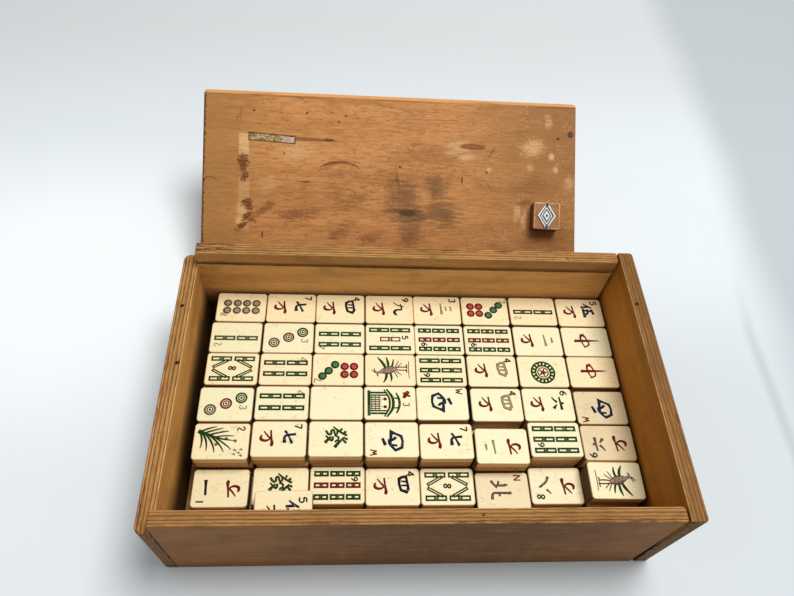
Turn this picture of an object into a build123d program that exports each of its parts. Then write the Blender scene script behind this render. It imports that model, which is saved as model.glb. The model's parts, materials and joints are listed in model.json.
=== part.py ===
from build123d import *
import os

# A plywood case of mahjong tiles, open, with its sliding lid taken out and leant behind it.
# Millimetres. +X runs along the case to the right, +Y to the back and +Z up.
# The origin is the middle of the case's underside, which stands on the table at Z = 0.

# The case
CASE_LENGTH = 267.0
CASE_DEPTH = 161.0
CASE_HEIGHT = 76.0
END_WALL = 8.6            # thickness of the two end walls
LONG_WALL = 7.5           # thickness of the front and back walls
LID_DROP = 11.4           # the left end wall stops this far below the others, for the lid to pass
PANEL = 4.0               # thickness of the bottom panel
REBATE = 4.0              # how far the bottom panel is let into each wall
OPEN_JOINT = 1.2          # gap at the right ends of the long walls, where the glue has let go
END_SHIFT = 0.9           # how far the right end wall has come away to the right
LEFT_CORNER = 4.0         # worn outer corners of the left end wall
RIGHT_CORNER = 2.0        # and of the right one
LONG_WALL_CORNER = 1.5    # worn right ends of the long walls
WORN_EDGE = 0.8           # worn top edges

# The lid and its grooves
LID_LENGTH = 254.0
LID_WIDTH = 149.0
LID_THICKNESS = 6.0
LID_RIM = 3.6             # thickness of the long edges, which run in the grooves
LID_BEVEL = 3.0           # width of the bevel down to the rim
LID_CORNER = 2.5
GROOVE_HEIGHT = 4.2
GROOVE_DEPTH = 2.0
LID_LEAN = 33.0           # degrees above the table
LID_LEFT = -134.8         # the lid's left end, as it leans
LID_FOOT = 82.6           # where its lower edge stands on the table

# The knob on the lid, its badge and its screws
KNOB = 18.0
KNOB_HEIGHT = 9.5
KNOB_ALONG = 231.5        # middle of the knob from the lid's left end
KNOB_ACROSS = 68.3        # and from its lower edge
KNOB_TURN = -1.5          # degrees, as seen from the lid's upper face
KNOB_EDGE = 0.7
BADGE_WIDTH = 12.2
BADGE_HEIGHT = 18.4
BADGE_OFFSET = -0.4       # the badge's middle along the lid from the knob's middle
BADGE_THICKNESS = 0.9
BADGE_RIM = 1.1
BADGE_FIELD = 0.45        # depth of the sunk field inside the rim
BADGE_EAR = 1.45          # radius of the ear round each nail
BADGE_NAIL_SPACING = 15.6
BADGE_NAIL_HEAD = 1.2
SCREW_SPACING = 9.0
SCREW_RADIUS = 1.25
SCREW_HEAD = 2.4
SCREW_LENGTH = 11.0

# Nails
WALL_NAIL_RADIUS = 0.7
WALL_NAIL_HEAD = 1.4
WALL_NAIL_LENGTH = 24.0
WALL_NAIL_HEIGHTS = (12.0, 33.0, 54.0)
PANEL_NAIL_RADIUS = 0.6
PANEL_NAIL_HEAD = 1.2
PANEL_NAIL_LENGTH = 14.0
NAIL_HEAD_THICKNESS = 0.8
SMALL_NAIL_RADIUS = 0.5
SMALL_NAIL_HEAD = 0.9
LID_NAIL_ALONG = 250.5
LID_NAIL_ACROSS = 126.8
CLEARANCE = 0.02          # round nails, screws and ears

# The tiles: a bone face dovetailed to a bamboo back
TILE_LENGTH = 29.7
TILE_WIDTH = 20.7
TILE_HEIGHT = 11.4
BONE = 4.4                # thickness of the bone above the joint
TILE_CORNER = 2.0
TILE_EDGE = 0.7
TONGUE_NECK = 6.0
TONGUE_FOOT = 8.0
TONGUE_DEPTH = 2.0

# How the tiles lie: eight columns, and rows whose places are their back edges, from the back of the case
COLUMNS = (-101.7, -71.5, -41.6, -11.3, 18.4, 48.7, 79.3, 109.8)
ROWS = (71.7, 50.3, 29.3, 8.1, -13.3)
FRONT_ROW = -36.1
# Tiles out of line, as (row, column): (to the right, to the back, turn in degrees)
NUDGES = {
    (1, 1): (0.1, -0.1, -0.3),
    (1, 7): (0.0, 0.4, 0.0),
    (2, 1): (-1.0, 0.0, 0.0),
    (2, 2): (-0.5, 0.1, 0.0),
    (3, 1): (-1.1, 0.0, 0.0),
    (3, 2): (-0.8, 0.1, 0.0),
    (3, 3): (-0.5, 0.1, 0.0),
    (3, 4): (-0.5, 0.1, 0.0),
    (3, 5): (-0.3, 0.1, 0.0),
    (4, 1): (-2.1, -1.0, 0.0),
    (4, 2): (-1.5, 0.0, 0.0),
    (4, 3): (-1.0, 0.1, 0.0),
    (4, 4): (-1.1, 0.2, 0.0),
    (4, 5): (-0.9, 0.1, 0.2),
    (4, 6): (0.2, -0.5, 0.0),
    (4, 7): (-0.1, -0.3, 0.0),
    (4, 8): (0.0, -2.0, 0.0),
    (5, 1): (-2.1, -1.4, 0.0),
    (5, 2): (-1.7, 0.0, 0.0),
    (5, 3): (-0.9, 0.1, 0.0),
    (5, 4): (-0.7, -0.3, 0.0),
    (5, 5): (-0.2, -1.3, 0.2),
    (5, 6): (0.3, -4.0, -0.4),
    (5, 7): (0.4, -0.2, 0.0),
    (5, 8): (0.0, -2.1, -0.3),
    (6, 1): (-1.6, -0.3, 0.0),
    (6, 2): (-0.2, 0.6, 0.0),
    (6, 3): (0.3, 1.0, 0.0),
    (6, 5): (0.3, 0.0, 0.0),
    (6, 6): (0.5, -2.6, 0.3),
    (6, 7): (0.2, 0.2, 0.0),
    (6, 8): (0.0, -0.9, 0.0),
}
CORNER_TILE = (109.65, -36.9, -1.0)     # middle along X, back edge, turn
EDGE_TILE_BACK = -59.9                 # back faces of the tiles that stand on edge at the front
EDGE_TILE_COUNT = 6
LOOSE_TILE = (-68.6, -61.0, 26.22)     # middle of the underside of the tile that lies across the front gap
LOOSE_TILE_TIP = 7.4                   # degrees, front edge down
LOOSE_TILE_TURN = 0.4

HALF_LENGTH = CASE_LENGTH / 2
HALF_DEPTH = CASE_DEPTH / 2
INNER_X = HALF_LENGTH - END_WALL
INNER_Y = HALF_DEPTH - LONG_WALL
LEDGE = CASE_HEIGHT - LID_DROP         # lower face of the grooves, level with the left end wall
LID_PLACE = Location((LID_LEFT, LID_FOOT, 0), (LID_LEAN, 0, 0))
LAYER_Z = [PANEL + layer * TILE_HEIGHT for layer in range(3)]


def block(x, y, z):
    """A box from three (low, high) pairs."""
    size = Box(x[1] - x[0], y[1] - y[0], z[1] - z[0])
    return Pos(sum(x) / 2, sum(y) / 2, sum(z) / 2) * size


def along_z(solid):
    return solid.edges().filter_by(Axis.Z)


def top_rim(solid):
    return solid.faces().sort_by(Axis.Z)[-1].edges()


def headed_pin(radius, head, length, head_thickness=NAIL_HEAD_THICKNESS, grow=0.0):
    """A nail or screw pointing along +Z, the top of its head at the origin and facing -Z."""
    low = (Align.CENTER, Align.CENTER, Align.MIN)
    return Cylinder(radius + grow, length, align=low) + Cylinder(head + grow, head_thickness, align=low)


def group(solid, places):
    return [place * solid for place in places]


def cut(solid, tools):
    for tool in tools:
        solid = solid - tool
    return solid


# Where the fasteners go

def wall_nail_places():
    """Through each end wall into the ends of the long walls."""
    places = []
    for x, turn in ((-HALF_LENGTH, 90), (HALF_LENGTH + END_SHIFT, -90)):
        for y in (-(HALF_DEPTH - LONG_WALL / 2), HALF_DEPTH - LONG_WALL / 2):
            places += [Location((x, y, z), (0, turn, 0)) for z in WALL_NAIL_HEIGHTS]
    return places


def panel_nail_places():
    """Up through the rim of the bottom panel into the walls."""
    x_rim = INNER_X + REBATE / 2
    y_rim = INNER_Y + REBATE / 2
    long_sides = [Location((x, y, 0)) for y in (-y_rim, y_rim) for x in (-105, -35, 35, 105)]
    short_sides = [Location((x, y, 0)) for x in (-x_rim, x_rim) for y in (-40, 40)]
    return long_sides + short_sides


def wall_nail(grow=0.0):
    return headed_pin(WALL_NAIL_RADIUS, WALL_NAIL_HEAD, WALL_NAIL_LENGTH, grow=grow)


def panel_nail(grow=0.0):
    return headed_pin(PANEL_NAIL_RADIUS, PANEL_NAIL_HEAD, PANEL_NAIL_LENGTH, grow=grow)


def fastener_holes():
    return group(wall_nail(CLEARANCE), wall_nail_places()) + group(panel_nail(CLEARANCE), panel_nail_places())


# The case

def end_wall(side):
    """The left (-1) or right (1) end wall; the left one is lower, so that the lid slides out over it."""
    height = LEDGE if side < 0 else CASE_HEIGHT
    shift = 0 if side < 0 else END_SHIFT
    x = sorted((side * HALF_LENGTH + shift, side * INNER_X + shift))
    wall = block(x, (-HALF_DEPTH, HALF_DEPTH), (0, height))
    outer = along_z(wall).sort_by(Axis.X)
    if side < 0:
        wall = fillet(outer[:2], LEFT_CORNER)
    else:
        wall = fillet(outer[2:], RIGHT_CORNER)
    wall = fillet(top_rim(wall), WORN_EDGE)
    rebate = block(
        sorted((side * INNER_X, side * (INNER_X + REBATE))),
        (-INNER_Y - REBATE, INNER_Y + REBATE),
        (0, PANEL),
    )
    return cut(wall - rebate, fastener_holes())


def long_wall(side):
    """The front (-1) or back (1) wall, grooved for the lid and butted between the end walls."""
    x = (-INNER_X, INNER_X + END_SHIFT - OPEN_JOINT)
    y = sorted((side * HALF_DEPTH, side * INNER_Y))
    wall = block(x, y, (0, CASE_HEIGHT))
    wall = fillet(along_z(wall).sort_by(Axis.X)[2:], LONG_WALL_CORNER)
    wall = fillet(top_rim(wall), WORN_EDGE)
    groove = block(
        (-HALF_LENGTH, HALF_LENGTH),
        sorted((side * INNER_Y, side * (INNER_Y + GROOVE_DEPTH))),
        (LEDGE, LEDGE + GROOVE_HEIGHT),
    )
    rebate = block(
        (-HALF_LENGTH, HALF_LENGTH),
        sorted((side * INNER_Y, side * (INNER_Y + REBATE))),
        (0, PANEL),
    )
    return cut(wall - groove - rebate, fastener_holes())


def bottom_panel():
    panel = block(
        (-INNER_X - REBATE, INNER_X + REBATE),
        (-INNER_Y - REBATE, INNER_Y + REBATE),
        (0, PANEL),
    )
    return cut(panel, group(panel_nail(CLEARANCE), panel_nail_places()))


# The lid, laid flat with its left end and lower edge on the axes and its underside at Z = 0

def knob_place(z):
    return Location((KNOB_ALONG, KNOB_ACROSS, z), (0, 0, KNOB_TURN))


def badge_place(z):
    return knob_place(z) * Pos(BADGE_OFFSET, 0, 0)


def knob_screws(grow=0.0):
    """Two screws up through the lid into the knob."""
    screw = headed_pin(SCREW_RADIUS, SCREW_HEAD, SCREW_LENGTH, grow=grow)
    return group(screw, [knob_place(0) * Pos(x, 0, 0) for x in (-SCREW_SPACING / 2, SCREW_SPACING / 2)])


def lid_nail(grow=0.0):
    nail = headed_pin(SMALL_NAIL_RADIUS, SMALL_NAIL_HEAD, LID_THICKNESS - 1, grow=grow)
    return [Location((LID_NAIL_ALONG, LID_NAIL_ACROSS, LID_THICKNESS), (180, 0, 0)) * nail]


def lid_panel():
    """A thin board; its long edges are bevelled from above down to the rims that run in the grooves."""
    section = Polyline(
        (0, 0, 0),
        (0, LID_WIDTH, 0),
        (0, LID_WIDTH, LID_RIM),
        (0, LID_WIDTH - LID_BEVEL, LID_THICKNESS),
        (0, LID_BEVEL, LID_THICKNESS),
        (0, 0, LID_RIM),
        close=True,
    )
    board = extrude(make_face(section), amount=LID_LENGTH, dir=(1, 0, 0))
    outline = Pos(LID_LENGTH / 2, LID_WIDTH / 2) * RectangleRounded(LID_LENGTH, LID_WIDTH, LID_CORNER)
    board = board & extrude(outline, amount=LID_THICKNESS)
    return cut(board, knob_screws(CLEARANCE) + lid_nail(CLEARANCE))


def badge_nails(grow=0.0):
    """Two nails through the badge's ears into the knob, heads on top."""
    top = LID_THICKNESS + KNOB_HEIGHT + BADGE_THICKNESS + NAIL_HEAD_THICKNESS / 2
    nail = headed_pin(SMALL_NAIL_RADIUS, BADGE_NAIL_HEAD, 6.0, NAIL_HEAD_THICKNESS / 2, grow)
    ends = (-BADGE_NAIL_SPACING / 2, BADGE_NAIL_SPACING / 2)
    return group(nail, [badge_place(top) * Location((0, y, 0), (180, 0, 0)) for y in ends])


def knob_block():
    knob = knob_place(LID_THICKNESS + KNOB_HEIGHT / 2) * Box(KNOB, KNOB, KNOB_HEIGHT)
    knob = fillet(top_rim(knob) + along_z(knob), KNOB_EDGE)
    return cut(knob, knob_screws(CLEARANCE) + badge_nails(CLEARANCE))


def lozenge(width, height):
    return Polygon((-width / 2, 0), (0, -height / 2), (width / 2, 0), (0, height / 2), align=None)


def badge_plate():
    """A stamped lozenge with a raised rim, a sunk field and a plain lozenge in its middle."""
    shrink = 1 - 2 * BADGE_RIM / BADGE_WIDTH
    plate = extrude(lozenge(BADGE_WIDTH, BADGE_HEIGHT), amount=BADGE_THICKNESS)
    field = lozenge(BADGE_WIDTH * shrink, BADGE_HEIGHT * shrink) - lozenge(BADGE_WIDTH / 3, BADGE_HEIGHT / 3)
    plate -= Pos(0, 0, BADGE_THICKNESS - BADGE_FIELD) * extrude(field, amount=BADGE_THICKNESS)
    for y in (-BADGE_NAIL_SPACING / 2, BADGE_NAIL_SPACING / 2):
        plate += extrude(Pos(0, y) * Circle(BADGE_EAR), amount=BADGE_THICKNESS)
    plate = badge_place(LID_THICKNESS + KNOB_HEIGHT) * plate
    return cut(plate, badge_nails(CLEARANCE))


# The tiles, each with the middle of its underside at the origin and its length along X

def tile_pieces():
    """One tile's bone face and bamboo back."""
    outline = RectangleRounded(TILE_LENGTH, TILE_WIDTH, TILE_CORNER)
    whole = extrude(outline, amount=TILE_HEIGHT)
    rims = whole.faces().sort_by(Axis.Z)[0].edges() + whole.faces().sort_by(Axis.Z)[-1].edges()
    whole = fillet(rims, TILE_EDGE)
    joint = TILE_HEIGHT - BONE
    section = Polyline(
        (-TILE_LENGTH, -TONGUE_NECK / 2, joint),
        (-TILE_LENGTH, -TONGUE_FOOT / 2, joint - TONGUE_DEPTH),
        (-TILE_LENGTH, TONGUE_FOOT / 2, joint - TONGUE_DEPTH),
        (-TILE_LENGTH, TONGUE_NECK / 2, joint),
        close=True,
    )
    tongue = extrude(make_face(section), amount=2 * TILE_LENGTH, dir=(1, 0, 0))
    upper = block((-TILE_LENGTH, TILE_LENGTH), (-TILE_WIDTH, TILE_WIDTH), (joint, 2 * TILE_HEIGHT))
    bone = whole & (upper + tongue)
    return bone, whole - bone


def tile_place(row, column, layer, straight=False):
    """Where a tile of the grid lies; straight tiles keep out of the nudges."""
    back = FRONT_ROW if row == 6 else ROWS[row - 1]
    dx, dy, turn = (0, 0, 0) if straight else NUDGES.get((row, column), (0, 0, 0))
    x = COLUMNS[column - 1] + dx
    y = back - TILE_WIDTH / 2 + dy
    return Location((x, y, LAYER_Z[layer]), (0, 0, turn))


def row_places(row, layer, straight=False):
    return [tile_place(row, column, layer, straight) for column in range(1, 9)]


def edge_tile_places():
    """Tiles stood on their long sides in the gap between the front row and the front wall."""
    z = PANEL + TILE_WIDTH / 2
    return [Location((x, EDGE_TILE_BACK, z), (90, 0, 0)) for x in COLUMNS[:EDGE_TILE_COUNT]]


def tile_groups():
    """Each group of tiles that one hand would lift, by name."""
    middle = [place for row in range(1, 6) for place in row_places(row, 1, straight=True)]
    bottom = [place for row in range(1, 7) for place in row_places(row, 0, straight=True)]
    x, back, turn = CORNER_TILE
    groups = {
        "bottom_layer": bottom,
        "edge_tiles": edge_tile_places(),
        "middle_layer": middle,
        "front_row": row_places(6, 1),
        "corner_tile": [Location((x, back - TILE_WIDTH / 2, LAYER_Z[2]), (0, 0, turn))],
        "loose_tile": [Location(LOOSE_TILE, (LOOSE_TILE_TIP, 0, LOOSE_TILE_TURN))],
    }
    for row in range(1, 6):
        groups[f"top_row_{row}"] = row_places(row, 2)
    return groups


def lean(solids):
    return [LID_PLACE * solid for solid in solids]


def all_parts():
    parts = {
        "front_wall": [long_wall(-1)],
        "back_wall": [long_wall(1)],
        "left_end_wall": [end_wall(-1)],
        "right_end_wall": [end_wall(1)],
        "bottom_panel": [bottom_panel()],
        "wall_nails": group(wall_nail(), wall_nail_places()),
        "bottom_nails": group(panel_nail(), panel_nail_places()),
        "lid_panel": lean([lid_panel()]),
        "lid_nail": lean(lid_nail()),
        "knob_block": lean([knob_block()]),
        "knob_screws": lean(knob_screws()),
        "badge_plate": lean([badge_plate()]),
        "badge_nails": lean(badge_nails()),
    }
    bone, bamboo = tile_pieces()
    for name, places in tile_groups().items():
        parts[f"{name}_faces"] = group(bone, places)
        parts[f"{name}_backs"] = group(bamboo, places)
    return parts


os.makedirs("parts", exist_ok=True)
for name, solids in all_parts().items():
    shapes = [solid for part in solids for solid in part.solids()]
    export_step(shapes[0] if len(shapes) == 1 else Compound(shapes), f"parts/{name}.step")
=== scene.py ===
"""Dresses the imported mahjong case: plywood, worn lid, bone-and-bamboo tiles and their painted marks."""

import functools
import itertools
import json
import math
import random

import bmesh
import bpy
from bpy.props import FloatProperty, FloatVectorProperty, IntProperty, PointerProperty
from mathutils import Matrix, Vector


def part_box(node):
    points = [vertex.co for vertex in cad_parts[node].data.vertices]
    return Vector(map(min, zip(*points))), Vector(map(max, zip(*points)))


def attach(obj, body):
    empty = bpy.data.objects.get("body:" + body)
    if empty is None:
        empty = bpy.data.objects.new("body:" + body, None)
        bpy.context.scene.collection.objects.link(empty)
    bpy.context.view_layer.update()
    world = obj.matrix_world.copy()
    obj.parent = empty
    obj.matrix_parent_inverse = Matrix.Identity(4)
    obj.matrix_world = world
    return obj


bl_info = {
    "name": "Mahjong Case",
    "version": (1, 0, 0),
    "blender": (4, 5, 0),
    "location": "3D View > Sidebar > Mahjong Case",
    "description": "Finishes a plywood case of bone-and-bamboo mahjong tiles",
    "category": "Object",
}

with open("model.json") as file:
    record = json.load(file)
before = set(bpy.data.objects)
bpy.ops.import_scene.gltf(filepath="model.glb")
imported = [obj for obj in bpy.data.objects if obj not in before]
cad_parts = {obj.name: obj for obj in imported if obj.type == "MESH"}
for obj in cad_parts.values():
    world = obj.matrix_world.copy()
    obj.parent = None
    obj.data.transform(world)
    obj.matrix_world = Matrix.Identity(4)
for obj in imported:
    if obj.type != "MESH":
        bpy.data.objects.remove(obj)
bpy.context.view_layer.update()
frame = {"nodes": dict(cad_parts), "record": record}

MM = 0.001

# The lid leans on its lower long edge: where that edge stands, how far up it leans, and how thick it is
LID_LEFT = -134.8
LID_FOOT = 82.6
LID_LEAN = math.radians(33.0)
LID_THICKNESS = 6.0

# Height of the knob's top above its middle
KNOB_TOP = 4.75
BADGE_SIZE = (12.2, 18.4)
BADGE_OFFSET = -0.4

# Small dark holes in the tops of the end walls
LEFT_DENTS = ((-129.7, 44.2), (-126.8, 8.0))
RIGHT_DENTS = ((128.5, 43.1),)

# Along X, where the back wall's plies are whole and where they are quite torn
TORN_PLIES = (-98.0, -112.0)

# The floor and the main lamp's aim, in metres, and the colour of the light all round
FLOOR_SIZE = 8.0
KEY_AIM = (0, 0.05, 0)
SKY_COLOUR = (0.96, 0.98, 1.0, 1.0)

# The camera, in millimetres and degrees
CAMERA_PLACE = (-39.84, -165.58, 382.53)
CAMERA_DOWN = 55.345
CAMERA_RIGHT = 8.100
CAMERA_ROLL = 7.718

# What is left of the paper label: its middle, size and turn on the lid, the slope that its dirt follows, its
# thickness, how far its edge is torn, and the draw for that
LABEL_MIDDLE = (45.2, 117.0)
LABEL_SIZE = (30.0, 4.3)
LABEL_TURN = math.radians(-3.3)
LABEL_SLOPE = 0.058
LABEL_THICKNESS = 0.08
LABEL_TORN = 0.35
LABEL_SEED = 3

# The tiles' tints: the width that they are set out over, the least gap between columns of tiles, and the draw
TINT_SPAN = 270
COLUMN_GAP = 15
TINT_SEED = 8


def srgb(red, green, blue):
    """A display colour, 0 to 255, as the linear colour that a shader takes."""
    linear = []
    for value in (red, green, blue):
        value /= 255
        linear.append(value / 12.92 if value <= 0.04045 else ((value + 0.055) / 1.055) ** 2.4)
    return (*linear, 1.0)


# ---------------------------------------------------------------- shader building


class Flow:
    """A shader socket that adds Math nodes when it is used in arithmetic."""

    def __init__(self, finish, socket):
        self.finish = finish
        self.socket = socket

    def calc(self, operation, *values, clamp=False):
        settings = {"operation": operation, "use_clamp": clamp}
        return self.finish.node("ShaderNodeMath", settings, dict(enumerate(values)))

    def __add__(self, other):
        return self.calc("ADD", self, other)

    def __sub__(self, other):
        return self.calc("SUBTRACT", self, other)

    def __rsub__(self, other):
        return self.calc("SUBTRACT", other, self)

    def __mul__(self, other):
        return self.calc("MULTIPLY", self, other)

    def __truediv__(self, other):
        return self.calc("DIVIDE", self, other)

    def __pow__(self, other):
        return self.calc("POWER", self, other)

    def __abs__(self):
        return self.calc("ABSOLUTE", self)

    __radd__ = __add__
    __rmul__ = __mul__

    def most(self, other):
        return self.calc("MAXIMUM", self, other)

    def least(self, other):
        return self.calc("MINIMUM", self, other)

    def clamped(self):
        return self.calc("ADD", self, 0.0, clamp=True)

    def ease(self, low, high):
        """0 below low, 1 above high and smooth between; falls instead where low is above high."""
        settings = {"interpolation_type": "SMOOTHSTEP"}
        falling = low > high
        ends = {1: high, 2: low, 3: 1.0, 4: 0.0} if falling else {1: low, 2: high}
        return self.finish.node("ShaderNodeMapRange", settings, {0: self, **ends})


def as_linear(colour):
    """A colour as a shader takes it; display colours have three values, linear ones four."""
    if isinstance(colour, Flow):
        return colour
    return srgb(*colour) if len(colour) == 3 else tuple(colour)


class Finish:
    """One material's nodes. Lengths and noise scales are in millimetres."""

    def __init__(self, name):
        self.material = bpy.data.materials.new(name)
        self.material.use_nodes = True
        self.tree = self.material.node_tree
        self.tree.nodes.clear()
        self.seeds = 0

    def node(self, kind, settings=None, inputs=None, out=0):
        """Adds a node: its settings first, then its sockets' values or links; returns one output."""
        made = self.tree.nodes.new(kind)
        for name, value in (settings or {}).items():
            if name == "stops":
                self.set_stops(made.color_ramp, value)
            else:
                setattr(made, name, value)
        for key, value in (inputs or {}).items():
            if isinstance(value, Flow):
                self.tree.links.new(value.socket, made.inputs[key])
            else:
                made.inputs[key].default_value = value
        return Flow(self, made.outputs[out]) if made.outputs else None

    @staticmethod
    def set_stops(ramp, stops):
        """Each stop is a place from 0 to 1 and its colour."""
        while len(ramp.elements) < len(stops):
            ramp.elements.new(1.0)
        for element, (position, colour) in zip(ramp.elements, stops):
            element.position = position
            element.color = as_linear(colour)

    def place(self, turn=(0, 0, 0), origin=(0, 0, 0)):
        """Object coordinates in millimetres from origin, turned."""
        coords = self.node("ShaderNodeTexCoord", out=3)
        moved = self.node(
            "ShaderNodeVectorMath",
            {"operation": "MULTIPLY_ADD"},
            {0: coords, 1: (1 / MM,) * 3, 2: tuple(-value for value in origin)},
        )
        if any(turn):
            moved = self.node("ShaderNodeVectorRotate", {"rotation_type": "EULER_XYZ"}, {0: moved, 4: turn})
        return moved

    def split(self, vector):
        parts = self.node("ShaderNodeSeparateXYZ", inputs={0: vector}).socket.node
        return [Flow(self, output) for output in parts.outputs]

    def noise(self, vector, scale, detail=3.0, rough=0.55, warp=0.0):
        """Noise from 0 to 1; scale is in waves per millimetre, the same for all axes or one for each."""
        self.seeds += 1
        if isinstance(scale, float):
            scale = (scale,) * 3
        shifted = self.node(
            "ShaderNodeVectorMath",
            {"operation": "MULTIPLY_ADD"},
            {0: vector, 1: scale, 2: (self.seeds * 7.3, self.seeds * 3.1, self.seeds * 5.7)},
        )
        values = {"Scale": 1.0, "Detail": detail, "Roughness": rough, "Distortion": warp}
        return self.node("ShaderNodeTexNoise", inputs={"Vector": shifted, **values})

    def mix(self, factor, first, second):
        inputs = {0: factor, 6: as_linear(first), 7: as_linear(second)}
        return self.node("ShaderNodeMix", {"data_type": "RGBA"}, inputs, out=2)

    def over(self, colour, *coats):
        """Lays coats of paint over a colour, one after another; each is how much of it and its colour."""
        for amount, coat in coats:
            colour = self.mix(amount, colour, coat)
        return colour

    def ramp(self, factor, stops, interpolation="LINEAR"):
        made = self.node("ShaderNodeValToRGB", {"stops": stops}, {0: factor})
        made.socket.node.color_ramp.interpolation = interpolation
        return made

    def facing(self, axis):
        """How squarely the surface faces along an axis, 0 to 1, from the part's own normals."""
        normal = self.node("ShaderNodeTexCoord", out=1)
        return abs(self.split(normal)[axis])

    def bump(self, height, depth):
        return self.node("ShaderNodeBump", inputs={"Strength": 1.0, "Distance": depth * MM, "Height": height})

    def surface(self, colour, rough, metallic=0.0, normal=None, coat=0.0, coat_rough=0.15, specular=0.5):
        values = {
            "Base Color": colour,
            "Roughness": rough,
            "Metallic": metallic,
            "Coat Weight": coat,
            "Coat Roughness": coat_rough,
            "Specular IOR Level": specular,
        }
        if normal is not None:
            values["Normal"] = normal
        shader = self.node("ShaderNodeBsdfPrincipled", inputs=values)
        self.node("ShaderNodeOutputMaterial", inputs={0: shader})
        return self.material


def blot(x, y, centre, radius, turn=0.0, soft=0.3, wobble=None, amount=1.0):
    """A soft-edged oval mask in the plane of x and y."""
    cos, sin = math.cos(math.radians(turn)), math.sin(math.radians(turn))
    across = x - centre[0]
    up = y - centre[1]
    along = (across * cos + up * sin) / radius[0]
    aside = (up * cos - across * sin) / radius[1]
    reach = (along * along + aside * aside) ** 0.5
    if wobble is not None:
        reach = reach + wobble
    return reach.ease(1 + soft, 1 - soft) * amount


def blots(x, y, *specs):
    """Several blots in one plane; each has its centre, radii, turn, softness, wobble and strength."""
    return [blot(x, y, *spec) for spec in specs]


def patch(x, y, low, high, soft=1.0, wobble=None, amount=1.0):
    """A soft-edged rectangle between two corners; soft and wobble are lengths."""
    inside = (x - low[0]).least(high[0] - x).least((y - low[1]).least(high[1] - y))
    if wobble is not None:
        inside = inside + wobble
    return inside.ease(-soft / 2, soft / 2) * amount


def bow(x, y, centre, radius, half_span, width, wobble=None, amount=1.0):
    """A thin arc above its centre, tapering to both ends; half_span is measured along x."""
    across = x - centre[0]
    up = y - centre[1]
    off = abs((across * across + up * up) ** 0.5 - radius)
    taper = abs(across).ease(half_span, half_span * 0.35)
    reach = off - taper * width
    if wobble is not None:
        reach = reach + wobble
    return reach.ease(0.5, -0.1) * up.ease(-1.0, 1.0) * taper.ease(0.0, 0.2) * amount


def gather(masks):
    """The strongest of several masks."""
    return functools.reduce(Flow.most, masks)


# ---------------------------------------------------------------- settings


def colour_setting(name, description, red, green, blue):
    return FloatVectorProperty(
        name=name,
        description=description,
        subtype="COLOR",
        size=4,
        min=0.0,
        max=1.0,
        default=srgb(red, green, blue),
    )


class WoodSettings(bpy.types.PropertyGroup):
    """Colours of the case, the lid and the knob."""

    veneer: colour_setting("Veneer", "Face veneer inside the case", 196, 136, 72)
    veneer_dark: colour_setting("Veneer grain", "Dark grain in the face veneer", 150, 96, 44)
    outside: colour_setting("Outside veneer", "Handled, dirtied veneer on the outside", 148, 102, 58)
    ply_light: colour_setting("Pale ply", "Long-grain plies on the edges", 206, 154, 92)
    ply_end: colour_setting("End-grain ply", "Cross plies on the edges", 168, 116, 60)
    glue: colour_setting("Glue line", "Dark lines between the plies", 76, 40, 16)
    lid: colour_setting("Lid", "Varnish of the lid", 206, 142, 82)
    lid_dark: colour_setting("Lid grain", "Dark grain in the lid", 146, 94, 46)
    knob: colour_setting("Knob", "Varnish of the knob", 166, 116, 70)


class TileSettings(bpy.types.PropertyGroup):
    """Colours of the tiles."""

    bone: colour_setting("Bone", "Polished bone faces", 242, 236, 192)
    bone_warm: colour_setting("Warm bone", "The warmer tiles and their edges", 253, 227, 176)
    bamboo: colour_setting("Bamboo", "Brown bamboo backs", 158, 112, 62)
    bamboo_dark: colour_setting("Bamboo fibre", "Dark fibres in the bamboo", 104, 66, 32)


class MarkSettings(bpy.types.PropertyGroup):
    """The painted strokes on the tiles."""

    thickness: FloatProperty(
        name="Flatness",
        description="Height of a stroke as a share of its width",
        default=0.05,
        min=0.01,
        max=1.0,
    )
    lift: FloatProperty(
        name="Lift",
        description="How far the paint stands above the bone",
        default=0.035 * MM,
        unit="LENGTH",
    )
    seed: IntProperty(name="Seed", description="Deal of the tiles in the hidden layers", default=144)


class StageSettings(bpy.types.PropertyGroup):
    """Floor, lamp, light all round and camera."""

    floor: colour_setting("Floor", "Pale paper under and behind the case", 226, 232, 235)
    sky: FloatProperty(name="Sky", description="Strength of the even light all round", default=0.40, min=0.0)
    key_power: FloatProperty(
        name="Key lamp",
        description="Power of the main lamp",
        default=21.5,
        min=0.0,
        unit="POWER",
    )
    key_size: FloatProperty(name="Key size", description="Width of the main lamp", default=0.8, unit="LENGTH")
    key_place: FloatVectorProperty(
        name="Key place",
        description="Middle of the main lamp",
        default=(0.4, 0.22, 1.6),
        subtype="XYZ",
        unit="LENGTH",
    )
    lens: FloatProperty(name="Lens", description="Focal length on a 36 mm sensor", default=30.205, min=1.0)


# ---------------------------------------------------------------- finishes


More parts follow.
